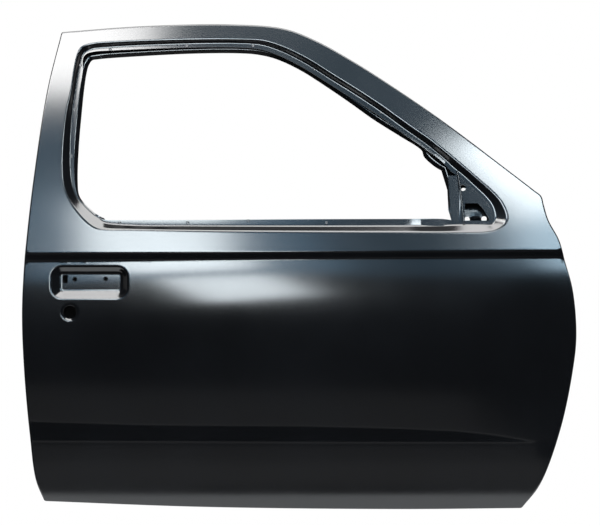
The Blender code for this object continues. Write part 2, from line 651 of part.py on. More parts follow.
def lower_top_line(bm, start, foot_line):
    """Upper edge of the lower band, from the rear hem to where it runs out on the band's foot."""
    end_x = LOWER_TOP_SHARES[-2][0] * DOOR_LENGTH
    meeting = min(foot_line[:-1], key=lambda v: abs(v.co.x - end_x))
    columns = [u * DOOR_LENGTH for u in SKIN_COLUMN_SHARES]
    inner = [x for x in columns if start.co.x + OVERRUN < x < meeting.co.x - OVERRUN]
    places = [lift((x, line_height(LOWER_TOP_SHARES, x))) for x in inner]
    return [start, *ring(bm, places), meeting]


def recess_holes():
    """Holes in the floor of the handle recess: the rod slot and two fixing holes."""
    slot = rounded_box(point(ROD_SLOT_SHARE), ROD_SLOT_WIDTH, ROD_SLOT_HEIGHT, ROD_SLOT_CORNER)
    return [slot, *(circle(point(share), HANDLE_HOLE_RADIUS, HOLE_STEPS)
                    for share in HANDLE_HOLE_SHARES)]


def pan_wall(outline):
    """Foot of the inner pressing's wall: along the silhouette, flat at the hinge, latch and sill."""
    loop = []
    for p in inset(outline, PAN_WALL_SETBACK):
        x = min(max(p.x, LATCH_WALL + SEAT_RISE), HINGE_WALL - SEAT_RISE)
        loop.append(Vector((x, max(p.y, SILL_WALL_HEIGHT))))
    return loop


def inner_window():
    """Window opening of the inner pressing: the lip edge, the division bar's edge and the sill."""
    _, _, _, lip = window_loops()
    run = lip[window_number(RUN_FIRST_ROW):]
    front = [point(share) for share in DIVISION_EDGE_SHARES]
    rear_end, front_end = lip[0], front[-1]
    sill = [rear_end.lerp(front_end, k / SILL_STEPS) - Vector((0, SILL_DROP))
            for k in range(SILL_STEPS + 1)]
    return sill + front[-2::-1] + run


def inner_holes():
    """Holes in the flat of the inner pressing, and in its mirror corner."""
    speaker = circle(point(SPEAKER_SHARE), SPEAKER_RADIUS, ROUND_STEPS)
    boxes = [box_between(shares, SERVICE_CORNER)
             for shares in (SERVICE_SHARES, FRONT_SERVICE_SHARES, REAR_ACCESS_SHARES)]
    clips = [circle(point(share), CLIP_HOLE_RADIUS, HOLE_STEPS) for share in CLIP_HOLE_SHARES]
    bolts = [circle(point(share), MIRROR_HOLE_RADIUS, HOLE_STEPS)
             for share in INNER_MIRROR_HOLE_SHARES]
    return boxes + [speaker] + clips + bolts


def inner_panel():
    """Inner pressing: rim inside the hem, step, pan wall and inner face with its openings."""
    bm = bmesh.new()
    outline, _, pinned = silhouette(notched=False)
    wall = pan_wall(outline)
    rim_edge = ring(bm, [lift(p, RIM_DEPTH) for p in inset(outline, HEM_RADIUS + RIM_EDGE_GAP, pinned)])
    rim_foot = ring(bm, [lift(p, RIM_DEPTH) for p in inset(outline, RIM_WIDTH, pinned)])
    step_foot = ring(bm, [lift(p, RIM_STEP_DEPTH) for p in inset(outline, RIM_WIDTH + RIM_STEP_WIDTH,
                                                                     pinned)])
    wall_foot = ring(bm, [(p.x, lift(p, RIM_STEP_DEPTH).y, p.y) for p in wall])
    wall_top = ring(bm, [lift_inner(p) for p in wall])
    for first, second in ((rim_edge, rim_foot), (rim_foot, step_foot), (step_foot, wall_foot),
                          (wall_foot, wall_top)):
        strip(bm, first, second)
    window = inner_window()
    holes = inner_holes()
    rings = [ring(bm, [lift_inner(p) for p in loop]) for loop in (window, *holes)]
    places = grid(INNER_COLUMN_SHARES, INNER_ROW_SHARES, wall, [window, *holes], RECESS_DEPTH)
    extra = ring(bm, [lift_inner(p) for p in places])
    fill(bm, wall_top, rings, extra=extra)
    thing = sheet("inner_panel", bm, INNER_GAUGE, OUTBOARD)
    cut(thing, "inner_panel_seats", *seat_pads(), operation="UNION")
    cut(thing, "inner_panel_wall_holes", *wall_holes())
    return thing


def seat_pads():
    """Flat pads that stand a little proud of the end walls under the hinges and the latch."""
    pads = []
    for wall, side, depth, height, wide, tall in (
            (HINGE_WALL, 1, HINGE_SEAT_DEPTH, HINGE_LOW_HEIGHT, HINGE_PATCH_WIDTH, HINGE_PAD_HEIGHT),
            (HINGE_WALL, 1, HINGE_SEAT_DEPTH, HINGE_HIGH_HEIGHT, HINGE_PATCH_WIDTH, HINGE_PAD_HEIGHT),
            (LATCH_WALL, -1, LATCH_DEPTH, LATCH_HEIGHT, LATCH_PAD_WIDTH, LATCH_PAD_HEIGHT)):
        ends = sorted((wall + side * INNER_GAUGE / 2, wall + side * INNER_GAUGE))
        pads.append(block((ends[0], depth - wide / 2, height - tall / 2),
                          (ends[1], depth + wide / 2, height + tall / 2)))
    return pads


def wall_holes():
    """Cutters through the end walls and the sill wall."""
    shapes = []
    reach = 2 * OVERRUN
    for height in (HINGE_LOW_HEIGHT, HINGE_HIGH_HEIGHT):
        shapes += bolt_rods(HINGE_WALL, HINGE_SEAT_DEPTH, height, HINGE_BOLT_PITCH, HINGE_BOLT_HOLE)
    shapes += bolt_rods(HINGE_WALL, HINGE_SEAT_DEPTH, CHECK_HEIGHT, CHECK_BOLT_PITCH, CHECK_BOLT_HOLE)
    shapes.append(slot_block(HINGE_WALL, HINGE_SEAT_DEPTH, CHECK_HEIGHT, CHECK_SLOT_WIDTH,
                             CHECK_SLOT_HEIGHT))
    shapes += bolt_rods(LATCH_WALL, LATCH_DEPTH, LATCH_HEIGHT, LATCH_SCREW_PITCH, LATCH_SCREW_HOLE)
    shapes.append(slot_block(LATCH_WALL, LATCH_DEPTH, LATCH_HEIGHT, LATCH_SLOT_WIDTH,
                             LATCH_SLOT_HEIGHT))
    for share in DRAIN_PLACE_SHARES:
        x = share * DOOR_LENGTH
        y = BOX_DEPTH - DRAIN_SETBACK
        shapes.append(block((x - DRAIN_LENGTH / 2, y - DRAIN_WIDTH / 2, SILL_WALL_HEIGHT - reach),
                            (x + DRAIN_LENGTH / 2, y + DRAIN_WIDTH / 2, SILL_WALL_HEIGHT + reach)))
    return shapes


def bolt_rods(wall, depth, height, pitch, radius):
    """A pair of round cutters through an end wall, above and below a height."""
    return [rod(Vector((wall, depth, height + side * pitch / 2)), radius, 4 * OVERRUN, FORWARD)
            for side in (-1, 1)]


def slot_block(wall, depth, height, width, tall):
    """A square cutter through an end wall."""
    return block((wall - 2 * OVERRUN, depth - width / 2, height - tall / 2),
                 (wall + 2 * OVERRUN, depth + width / 2, height + tall / 2))


def glass_run_channel():
    """Channel around the rear, top and sloping sides of the window, open towards the glass."""
    face, foot, flange, lip = window_loops()
    start = window_number(RUN_FIRST_ROW) + 1
    numbers = [i for i in range(start, len(face)) if (flange[i] - foot[i]).length > 2 * CHANNEL_LIP_GAP]
    leg_depth = WINDOW_STEP + SKIN_GAUGE + SEAT_GAP
    edge, web_out, web_in, tip = [], [], [], []
    for i in numbers:
        inwards = (lip[i] - face[i]).normalized()
        web = foot[i] + inwards * CHANNEL_SETBACK
        back = inner_y(*web) - PRESS_GAP
        edge.append(lift(flange[i] - inwards * CHANNEL_SETBACK, leg_depth))
        web_out.append(lift(web, leg_depth))
        web_in.append(Vector((web.x, back, web.y)))
        end = lip[i] - inwards * CHANNEL_LIP_GAP
        tip.append(Vector((end.x, inner_y(*end) - PRESS_GAP, end.y)))
    return folded("glass_run_channel", [edge, web_out, web_in, tip], RUN_GAUGE, INBOARD)


def raked(place, height, offset, depth):
    """A place on a glass run: the runs lean forward below the belt as the glass does."""
    return Vector((place + offset - RUN_RAKE * (height - RUN_UPPER_HEIGHT), depth, height))


def run_depth(x, z):
    """Depth of the outboard leg of a glass run, which drifts inboard below the belt."""
    sunk = max(RUN_UPPER_HEIGHT - z, 0) / (RUN_UPPER_HEIGHT - RUN_LOWER_HEIGHT)
    belt = lift((x, max(z, RUN_UPPER_HEIGHT)), WINDOW_STEP + SKIN_GAUGE + RUN_SET_IN).y
    return belt + RUN_LOWER_SHIFT * sunk


def rear_run_channel():
    """Lower run of the glass at the rear, inside the door, open to the front."""
    heights = (RUN_LOWER_HEIGHT, (RUN_LOWER_HEIGHT + RUN_UPPER_HEIGHT) / 2,
               RUN_UPPER_HEIGHT - SILL_DROP)
    lines = [[raked(REAR_RUN_PLACE, h, offset, run_depth(REAR_RUN_PLACE, h) + depth) for h in heights]
             for offset, depth in ((RUN_WIDTH, 0), (0, 0), (0, RUN_DEPTH), (RUN_WIDTH, RUN_DEPTH))]
    return folded("rear_run_channel", lines, RUN_GAUGE, REARWARD)


def division_bar():
    """Front run of the glass: a channel from the sloping frame down into the door."""
    heights = (RUN_LOWER_HEIGHT, (RUN_LOWER_HEIGHT + RUN_UPPER_HEIGHT) / 2, RUN_UPPER_HEIGHT,
               DIVISION_TOP_HEIGHT)
    rows = []
    for offset, depth in ((-DIVISION_FACE, 0), (0, 0), (0, RUN_DEPTH), (-DIVISION_FACE, RUN_DEPTH)):
        row = []
        for h in heights:
            out = run_depth(DIVISION_PLACE, h)
            row.append(raked(DIVISION_PLACE, h, offset, out + depth))
        rows.append(row)
    return folded("division_bar", rows, RUN_GAUGE, FORWARD)


def run_bracket(name, place, web_side):
    """Angle that carries the lower end of a glass run from the inner pressing."""
    height = RUN_LOWER_HEIGHT + RUN_BRACKET_HEIGHT
    out = run_depth(place, height)
    leg = SEAT_GAP
    near = place + web_side * leg
    lows = [height - RUN_BRACKET_HEIGHT / 2, height + RUN_BRACKET_HEIGHT / 2]
    wall = BOX_DEPTH - SEAT_GAP
    lines = [[raked(near, h, 0, out) for h in lows],
             [raked(near, h, 0, wall) for h in lows],
             [raked(near, h, web_side * RUN_BRACKET_FOOT, wall) for h in lows]]
    return folded(name, lines, BRACKET_GAUGE, Vector((-web_side, 1, 0)))


def mirror_mount_plate():
    """Plate behind the mirror corner's flange, with the mirror's bolt hole and a service window."""
    bm = bmesh.new()
    depth = WINDOW_STEP + SKIN_GAUGE + MIRROR_PLATE_GAP
    outline = ring(bm, [lift(point(share), depth) for share in MIRROR_PLATE_SHARES])
    window = ring(bm, [lift(point(share), depth) for share in MIRROR_WINDOW_SHARES])
    hole = ring(bm, [lift(p, depth) for p in circle(point(MIRROR_HOLE_SHARE), MIRROR_HOLE_RADIUS,
                                                     HOLE_STEPS)])
    fill(bm, outline, [window, hole])
    return sheet("mirror_mount_plate", bm, BRACKET_GAUGE, OUTBOARD)


def belt_reinforcement_outer():
    """Closes a box with the skin under the window sill, on the outboard side of the glass."""
    face, foot, flange, _ = window_loops()
    depth = WINDOW_STEP + SKIN_GAUGE + SEAT_GAP
    lines = [[], [], [], [], []]
    for i in range(window_number(BELT_FIRST_ROW), window_number(BELT_LAST_ROW) + 1):
        drop = face[i] - Vector((0, BELT_BOX_DROP))
        lines[0].append(lift(flange[i] - Vector((0, CHANNEL_SETBACK)), depth))
        lines[1].append(lift(foot[i], depth))
        lines[2].append(lift(face[i], depth + BELT_BOX_DEPTH - WINDOW_STEP))
        lines[3].append(lift(drop, SKIN_GAUGE + PRESS_GAP))
        lines[4].append(lift(drop - Vector((0, BELT_FOOT)), SKIN_GAUGE + PRESS_GAP))
    return folded("belt_reinforcement_outer", lines, BRACKET_GAUGE, OUTBOARD)


def belt_reinforcement_inner():
    """Hat section along the inner pressing's sill, on its cavity side."""
    sill = inner_window()[:SILL_STEPS + 1]
    rows = [[], [], [], []]
    for p in sill:
        x = min(max(p.x, LATCH_WALL + BELT_END_SETBACK), HINGE_WALL - BELT_END_SETBACK)
        levels = [p.y - OVERRUN - share * INNER_BELT_HEIGHT for share in INNER_BELT_LEVEL_SHARES]
        for row, z, out in zip(rows, levels, (0, INNER_BELT_DEPTH, INNER_BELT_DEPTH, 0)):
            row.append(Vector((x, inner_y(x, z) - SEAT_GAP - PRESS_GAP - out, z)))
    return folded("belt_reinforcement_inner", rows, BRACKET_GAUGE, INBOARD)


def end_angle(name, wall, inwards, depth, height, tall, wide, foot, gauge):
    """Angle patch inside an end wall, with its foot turned along the inner face."""
    face = wall + inwards * SEAT_GAP
    levels = (height - tall / 2, height + tall / 2)
    inner = BOX_DEPTH - SEAT_GAP
    lines = [[Vector((face, depth - wide / 2, z)) for z in levels],
             [Vector((face, inner, z)) for z in levels],
             [Vector((face + inwards * foot, inner, z)) for z in levels]]
    facing = Vector((-inwards, 1, 0))
    return folded(name, lines, gauge, facing)


def hinge_reinforcement(name, height):
    thing = end_angle(name, HINGE_WALL, -1, HINGE_SEAT_DEPTH, height, HINGE_PATCH_HEIGHT,
                      HINGE_PATCH_WIDTH, HINGE_FOOT_LENGTH, HINGE_GAUGE)
    cut(thing, name + "_holes",
        *bolt_rods(HINGE_WALL, HINGE_SEAT_DEPTH, height, HINGE_BOLT_PITCH, HINGE_BOLT_HOLE))


def tapping_plate(name, height):
    """Thick plate behind a hinge patch, tapped for the hinge bolts."""
    face = HINGE_WALL - 2 * SEAT_GAP - HINGE_GAUGE
    bm = bmesh.new()
    half_y, half_z = TAPPING_WIDTH / 2, TAPPING_HEIGHT / 2
    block((face - TAPPING_GAUGE, HINGE_SEAT_DEPTH - half_y, height - half_z),
          (face, HINGE_SEAT_DEPTH + half_y, height + half_z))(bm)
    thing = make(name, bm)
    cut(thing, name + "_holes",
        *bolt_rods(face - TAPPING_GAUGE / 2, HINGE_SEAT_DEPTH, height, HINGE_BOLT_PITCH,
                   TAPPING_HOLE))


def check_link_reinforcement():
    thing = end_angle("check_link_reinforcement", HINGE_WALL, -1, HINGE_SEAT_DEPTH, CHECK_HEIGHT,
                      CHECK_PATCH_HEIGHT, HINGE_PATCH_WIDTH, CHECK_FOOT_LENGTH, BRACKET_GAUGE)
    cut(thing, "check_link_reinforcement_holes",
        *bolt_rods(HINGE_WALL, HINGE_SEAT_DEPTH, CHECK_HEIGHT, CHECK_BOLT_PITCH, CHECK_BOLT_HOLE),
        slot_block(HINGE_WALL, HINGE_SEAT_DEPTH, CHECK_HEIGHT, CHECK_SLOT_WIDTH, CHECK_SLOT_HEIGHT))


def latch_reinforcement():
    thing = end_angle("latch_reinforcement", LATCH_WALL, 1, LATCH_DEPTH, LATCH_HEIGHT,
                      LATCH_PATCH_HEIGHT, LATCH_PATCH_WIDTH, LATCH_FOOT_LENGTH, BRACKET_GAUGE)
    cut(thing, "latch_reinforcement_holes",
        *bolt_rods(LATCH_WALL, LATCH_DEPTH, LATCH_HEIGHT, LATCH_SCREW_PITCH, LATCH_SCREW_HOLE),
        slot_block(LATCH_WALL, LATCH_DEPTH, LATCH_HEIGHT, LATCH_SLOT_WIDTH, LATCH_SLOT_HEIGHT))


def beam_line():
    """Ends of the impact beam's centre line, close behind the skin."""
    ends = []
    for wall, side, height in ((LATCH_WALL, 1, BEAM_REAR_HEIGHT), (HINGE_WALL, -1, BEAM_FRONT_HEIGHT)):
        x = wall + side * BEAM_END_GAP
        ends.append(Vector((x, lift((x, height), SKIN_GAUGE + BEAM_SKIN_GAP + BEAM_RADIUS).y, height)))
    return ends


def beam_at(x):
    rear, front = beam_line()
    return rear.lerp(front, (x - rear.x) / (front.x - rear.x))


def impact_beam():
    """Round tube across the door, open at both ends."""
    rear, front = beam_line()
    along = (front - rear).normalized()
    side = along.cross(INBOARD).normalized()
    up = side.cross(along)
    rows = []
    for step in range(ROUND_STEPS):
        angle = math.tau * step / ROUND_STEPS
        out = (side * math.cos(angle) + up * math.sin(angle)) * BEAM_RADIUS
        rows.append([rear + out, front + out])
    return folded("impact_beam", [*zip(*rows)], BEAM_WALL, FORWARD, closed=True)


def beam_bracket(name, wall, side):
    """Angle from an end wall along the inboard side of the beam's end."""
    start = wall + side * SEAT_GAP
    end = wall + side * BEAM_BRACKET_REACH
    along = beam_at(end) - beam_at(start)
    behind = (BEAM_RADIUS + SEAT_GAP) * math.hypot(along.x, along.y) / abs(along.x)
    rows = [[], [], []]
    for half in (-0.5, 0.5):
        for row, x, extra in zip(rows, (start, start, end), (BEAM_BRACKET_FOOT, 0, 0)):
            here = beam_at(x)
            z = beam_at(start).z + half * BEAM_BRACKET_HEIGHT
            row.append(Vector((x, here.y + behind + extra, z)))
    return folded(name, rows, BRACKET_GAUGE, Vector((-side, -1, 0)))


def flutter_pad(name, share):
    """Mastic pad between the impact beam and the skin."""
    centre = beam_at(share * DOOR_LENGTH)
    bm = bmesh.new()
    fronts, backs = [], []
    for sx, sz in ((-1, -1), (1, -1), (1, 1), (-1, 1)):
        x = centre.x + sx * PAD_LENGTH / 2
        z = beam_at(x).z + sz * PAD_HEIGHT / 2
        fronts.append(lift((x, z), SKIN_GAUGE + PRESS_GAP))
        backs.append(Vector((x, beam_at(x).y - BEAM_RADIUS - SEAT_GAP, z)))
    front, back = ring(bm, fronts), ring(bm, backs)
    strip(bm, front, back)
    bm.faces.new(front)
    bm.faces.new(back)
    bmesh.ops.triangulate(bm, faces=bm.faces)
    bmesh.ops.recalc_face_normals(bm, faces=bm.faces)
    make(name, bm, material(name + "_mastic", (0.05, 0.05, 0.05), 0.8, 0.0))


def handle_reinforcement():
    """Tray behind the handle recess, with the recess floor's holes and legs to the skin's back."""
    bm = bmesh.new()
    depth = RECESS_DEPTH + SKIN_GAUGE + SEAT_GAP
    outline = rounded_box(point(RECESS_FLOOR_SHARE), RECESS_FLOOR_LENGTH + 2 * HANDLE_PLATE_MARGIN,
                          RECESS_FLOOR_HEIGHT + 2 * HANDLE_PLATE_MARGIN, RECESS_FLOOR_CORNER)
    edge = ring(bm, [lift(p, depth) for p in outline])
    lip = ring(bm, [v.co + INBOARD * HANDLE_PLATE_LEG for v in edge])
    holes = [ring(bm, [lift(p, depth) for p in loop]) for loop in recess_holes()]
    strip(bm, edge, lip)
    fill(bm, edge, holes)
    return sheet("handle_reinforcement", bm, BRACKET_GAUGE, OUTBOARD)


def lock_reinforcement():
    """Square washer plate around the lock cup, against the back of the skin."""
    bm = bmesh.new()
    lock = point(LOCK_PLACE_SHARE)
    depth = SKIN_GAUGE + LOCK_PLATE_GAP
    outline = rounded_box(lock, LOCK_PLATE_SIZE, LOCK_PLATE_SIZE, LOCK_PLATE_CORNER)
    edge = ring(bm, [lift(p, depth) for p in outline])
    bore = ring(bm, [lift(p, depth) for p in circle(lock, LOCK_PLATE_BORE)])
    fill(bm, edge, [bore])
    return sheet("lock_reinforcement", bm, BRACKET_GAUGE, OUTBOARD)


def door_pull_reinforcement():
    """Flanged plate behind the inner face, where the door pull bolts on."""
    centre = point(PULL_PLACE_SHARE)
    low, high = centre.y - PULL_PLATE_HEIGHT / 2, centre.y + PULL_PLATE_HEIGHT / 2
    ends = (centre.x - PULL_PLATE_LENGTH / 2, centre.x + PULL_PLATE_LENGTH / 2)
    back = BOX_DEPTH - SEAT_GAP
    lines = [[Vector((x, y, z)) for x in ends]
             for y, z in ((back - PULL_PLATE_FLANGE, low), (back, low), (back, high),
                          (back - PULL_PLATE_FLANGE, high))]
    return folded("door_pull_reinforcement", lines, BRACKET_GAUGE, INBOARD)


def build():
    for old in list(bpy.data.objects):
        bpy.data.objects.remove(old, do_unlink=True)
    frame = bpy.data.objects.new("door_frame", None)
    bpy.context.collection.objects.link(frame)
    frame.location = -ORIGIN
    outer_panel()
    inner_panel()
    glass_run_channel()
    rear_run_channel()
    division_bar()
    run_bracket("rear_run_bracket", REAR_RUN_PLACE, -1)
    run_bracket("division_bar_bracket", DIVISION_PLACE, 1)
    mirror_mount_plate()
    belt_reinforcement_outer()
    belt_reinforcement_inner()
    hinge_reinforcement("upper_hinge_reinforcement", HINGE_HIGH_HEIGHT)
    hinge_reinforcement("lower_hinge_reinforcement", HINGE_LOW_HEIGHT)
    tapping_plate("upper_hinge_tapping_plate", HINGE_HIGH_HEIGHT)
    tapping_plate("lower_hinge_tapping_plate", HINGE_LOW_HEIGHT)
    check_link_reinforcement()
    latch_reinforcement()
    impact_beam()
    beam_bracket("impact_beam_rear_bracket", LATCH_WALL, 1)
    beam_bracket("impact_beam_front_bracket", HINGE_WALL, -1)
    for name, share in zip(("rear", "middle", "front"), PAD_PLACE_SHARES):
        flutter_pad("flutter_pad_" + name, share)
    handle_reinforcement()
    lock_reinforcement()
    door_pull_reinforcement()


build()
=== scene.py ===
"""Looks of the front door shell: fine pressings, primer finish, studio light and the camera.

The sheets are drawn in door coordinates, as in the part's source: X from the rear edge, Y inboard from
the outermost line of the skin and Z from the bottom edge, in metres. The lower hinge seat is the frame's
origin, so every point is moved by HINGE_SEAT when its mesh is made.
"""
import math

import bmesh
import bpy
import numpy as np
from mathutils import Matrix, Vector
from mathutils.geometry import delaunay_2d_cdt

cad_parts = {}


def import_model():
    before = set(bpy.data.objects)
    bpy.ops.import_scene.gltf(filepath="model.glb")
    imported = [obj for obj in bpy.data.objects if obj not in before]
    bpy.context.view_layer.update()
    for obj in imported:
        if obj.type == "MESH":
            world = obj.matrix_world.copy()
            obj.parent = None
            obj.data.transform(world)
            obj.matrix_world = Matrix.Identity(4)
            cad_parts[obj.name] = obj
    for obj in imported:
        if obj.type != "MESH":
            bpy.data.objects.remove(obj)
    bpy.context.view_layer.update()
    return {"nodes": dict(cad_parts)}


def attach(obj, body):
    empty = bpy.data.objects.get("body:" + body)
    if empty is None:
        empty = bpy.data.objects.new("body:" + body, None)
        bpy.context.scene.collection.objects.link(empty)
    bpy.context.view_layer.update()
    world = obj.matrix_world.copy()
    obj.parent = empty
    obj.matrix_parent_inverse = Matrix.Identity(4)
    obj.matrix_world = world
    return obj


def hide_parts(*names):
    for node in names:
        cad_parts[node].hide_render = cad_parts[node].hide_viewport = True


# Sizes shared with the part
DOOR_LENGTH = 1.163
DOOR_HEIGHT = 1.019
BOX_DEPTH = 0.095
FRAME_DEPTH = 0.038
GAUGE = 0.0008
RUN_GAUGE = 0.0010
BRACKET_GAUGE = 0.0015
MIRROR_PLATE_GAP = 0.0004
SEAT_GAP = 0.0003
PRESS_GAP = 0.0007
CREASE_LIP_INSET = 0.007
CREASE_FOOT_INSET = 0.013
LOWER_LINE_INSET = 0.009
SILL_TUCK = 0.015
PLAN_BOW = 0.014
BELT_LEAN = math.radians(14)
TOP_LEAN = math.radians(20)
LOWER_BAND_LEAN = math.radians(12)
TUCK_POWER = 1.5
OUTERMOST_SHARE = 0.37
BELT_SHARE = 0.565
BOW_CENTRE_SHARE = 0.45
HEM_RETURN = 0.009
HEM_NOTCH = 0.014
RIM_EDGE_GAP = 0.0005
RIM_WIDTH = 0.0125
RIM_STEP_WIDTH = 0.003
RIM_STEP_DEPTH = 0.006
PAN_WALL_SETBACK = 0.018
HINGE_WALL_SETBACK = 0.0655
HINGE_WALL = DOOR_LENGTH - HINGE_WALL_SETBACK
LATCH_WALL = 0.0375
SILL_WALL_HEIGHT = 0.034
WINDOW_STEP = 0.009
CHANNEL_SETBACK = 0.001
CHANNEL_LIP_GAP = 0.0025
SILL_DROP = 0.004
RECESS_LENGTH = 0.166
RECESS_HEIGHT = 0.0715
RECESS_DEPTH = 0.012
RECESS_CORNER = 0.026
RECESS_FLOOR_LENGTH = 0.130
RECESS_FLOOR_HEIGHT = 0.0403
RECESS_FLOOR_CORNER = 0.006
ROD_SLOT_WIDTH = 0.012
ROD_SLOT_HEIGHT = 0.0205
ROD_SLOT_CORNER = 0.002
HANDLE_HOLE_RADIUS = 0.0050
LOCK_CUP_RADIUS = 0.019
LOCK_HOLE_RADIUS = 0.0138
LOCK_CUP_DEPTH = 0.003
HINGE_HEIGHTS = (0.185, 0.480)
HINGE_SEAT_DEPTH = 0.060
HINGE_BOLT_PITCH = 0.044
HINGE_BOLT_HOLE = 0.0055
CHECK_HEIGHT = 0.345
CHECK_SLOT_HEIGHT = 0.030
CHECK_SLOT_WIDTH = 0.013
CHECK_BOLT_PITCH = 0.056
CHECK_BOLT_HOLE = 0.0040
LATCH_HEIGHT = 0.400
LATCH_DEPTH = 0.064
LATCH_SLOT_HEIGHT = 0.056
LATCH_SLOT_WIDTH = 0.026
LATCH_SCREW_PITCH = 0.078
LATCH_SCREW_HOLE = 0.0036
DRAIN_LENGTH = 0.024
DRAIN_WIDTH = 0.008
DRAIN_SETBACK = 0.016
DRAIN_PLACE_SHARES = (0.25, 0.55, 0.80)
MIRROR_HOLE_RADIUS = 0.0066
SERVICE_CORNER = 0.030
SPEAKER_RADIUS = 0.080
CLIP_HOLE_RADIUS = 0.005
HEM_DEPTH = 3 * GAUGE + 2 * SEAT_GAP
HEM_RADIUS = HEM_DEPTH / 2
RIM_DEPTH = GAUGE + SEAT_GAP
HINGE_SEAT = np.array((HINGE_WALL + GAUGE, HINGE_SEAT_DEPTH, HINGE_HEIGHTS[0]))

# Silhouette, counter-clockwise from the bottom rear corner: shares of length and height, 1 if sharp
SILHOUETTE_SHARES = (
    (0.0403, 0.0165, 1), (0.3210, 0.0047, 0), (0.6820, 0.0000, 0), (0.9013, 0.0021, 1),
    (0.9347, 0.0513, 0), (0.9709, 0.1628, 0), (0.9937, 0.2864, 0), (1.0000, 0.3585, 0),
    (0.9935, 0.4513, 0), (0.9789, 0.5131, 0), (0.9690, 0.5543, 0), (0.9498, 0.5955, 0),
    (0.9412, 0.6280, 0), (0.9370, 0.6450, 0), (0.9238, 0.6573, 0), (0.8769, 0.6985, 0),
    (0.7576, 0.8016, 0), (0.6523, 0.8840, 0), (0.5951, 0.9252, 0), (0.5301, 0.9664, 0),
    (0.4726, 0.9911, 0), (0.3751, 1.0000, 0), (0.2126, 0.9961, 0), (0.0700, 0.9840, 1),
    (0.0444, 0.8634, 0), (0.0200, 0.6779, 0), (0.0078, 0.5543, 0), (0.0032, 0.4925, 0),
    (0.0000, 0.3998, 0), (0.0038, 0.2864, 0), (0.0141, 0.1525, 0), (0.0249, 0.0598, 0),
)

# Window, counter-clockwise from the lower rear corner: the skin's face edge, the lip edge across from
# it, and the shares of the way between them where the step wall and the welded flange end
WINDOW_SHARES = (
    (0.1511, 0.5774, 0.1504, 0.5988, 0.67, 0.97), (0.1946, 0.5770, 0.1946, 0.5974, 0.45, 1.00),
    (0.3209, 0.5739, 0.3209, 0.5978, 0.48, 1.00), (0.5014, 0.5718, 0.5014, 0.5992, 0.49, 1.00),
    (0.6819, 0.5708, 0.6819, 0.5998, 0.52, 1.00), (0.7614, 0.5708, 0.7614, 0.5996, 0.54, 1.00),
    (0.7939, 0.5710, 0.7939, 0.5939, 0.74, 1.00), (0.8323, 0.5716, 0.8300, 0.5939, 0.73, 1.00),
    (0.8572, 0.5776, 0.8419, 0.5945, 0.62, 1.00), (0.8697, 0.5871, 0.8468, 0.5996, 0.75, 1.00),
    (0.8749, 0.6007, 0.8491, 0.6075, 0.79, 1.00), (0.8655, 0.6295, 0.8440, 0.6252, 0.70, 1.00),
    (0.8509, 0.6491, 0.8350, 0.6382, 0.60, 1.00), (0.8264, 0.6736, 0.8159, 0.6602, 0.54, 1.00),
    (0.7940, 0.7055, 0.7834, 0.6913, 0.46, 1.00), (0.7758, 0.7231, 0.7567, 0.6975, 0.24, 0.54),
    (0.7433, 0.7533, 0.7245, 0.7276, 0.22, 0.53), (0.7379, 0.7583, 0.7224, 0.7373, 0.27, 0.65),
    (0.6975, 0.7906, 0.6832, 0.7676, 0.25, 0.65), (0.6684, 0.8143, 0.6585, 0.7851, 0.21, 0.56),
    (0.6513, 0.8286, 0.6332, 0.8036, 0.20, 0.54), (0.6054, 0.8630, 0.5913, 0.8378, 0.20, 0.58),
    (0.5592, 0.8959, 0.5466, 0.8727, 0.22, 0.62), (0.5132, 0.9287, 0.5014, 0.9052, 0.22, 0.63),
    (0.4671, 0.9538, 0.4590, 0.9277, 0.18, 0.58), (0.4329, 0.9652, 0.4274, 0.9367, 0.14, 0.50),
    (0.3931, 0.9676, 0.3922, 0.9400, 0.11, 0.46), (0.3029, 0.9674, 0.3029, 0.9392, 0.11, 0.44),
    (0.1585, 0.9613, 0.1621, 0.9304, 0.12, 0.40), (0.1238, 0.9578, 0.1368, 0.9277, 0.15, 0.38),
    (0.1078, 0.9512, 0.1251, 0.9252, 0.20, 0.38), (0.1020, 0.9419, 0.1199, 0.9170, 0.22, 0.38),
    (0.0962, 0.9157, 0.1157, 0.9015, 0.21, 0.62), (0.0895, 0.8634, 0.1108, 0.8634, 0.18, 0.60),
    (0.0807, 0.8187, 0.1069, 0.8181, 0.30, 0.66), (0.0747, 0.7628, 0.1027, 0.7628, 0.39, 0.70),
    (0.0727, 0.7088, 0.1002, 0.7088, 0.47, 0.74), (0.0755, 0.6676, 0.1000, 0.6728, 0.58, 0.80),
    (0.0845, 0.6398, 0.1022, 0.6478, 0.74, 0.87), (0.0982, 0.6153, 0.1119, 0.6301, 0.88, 0.95),
    (0.1159, 0.5930, 0.1289, 0.6120, 0.88, 0.95), (0.1316, 0.5807, 0.1401, 0.6033, 0.88, 0.95),
)
RUN_FIRST_ROW = 15
RUN_LAST_ROW = 38
DIVISION_EDGE_SHARES = ((0.7675, 0.6573), (0.7693, 0.6161), (0.7758, 0.5940))

# Lines across the skin: shares of length and height
CREASE_TOP_SHARES = ((0.0, 0.5267), (0.5, 0.5288), (1.0, 0.5330))
CREASE_FOOT_SHARES = ((0.0, 0.5104), (0.5, 0.5165), (1.0, 0.5195))
LOWER_TOP_SHARES = ((0.0, 0.1810), (0.2361, 0.1731), (0.5123, 0.1710), (0.6740, 0.1665),
                    (0.7776, 0.1613), (0.8468, 0.1535), (0.9329, 0.1370), (1.0, 0.1340))
LOWER_FOOT_SHARES = ((0.0, 0.1401), (0.5, 0.1376), (0.9329, 0.1370), (1.0, 0.1340))
SKIN_LINES = (CREASE_TOP_SHARES, CREASE_FOOT_SHARES, LOWER_TOP_SHARES, LOWER_FOOT_SHARES)

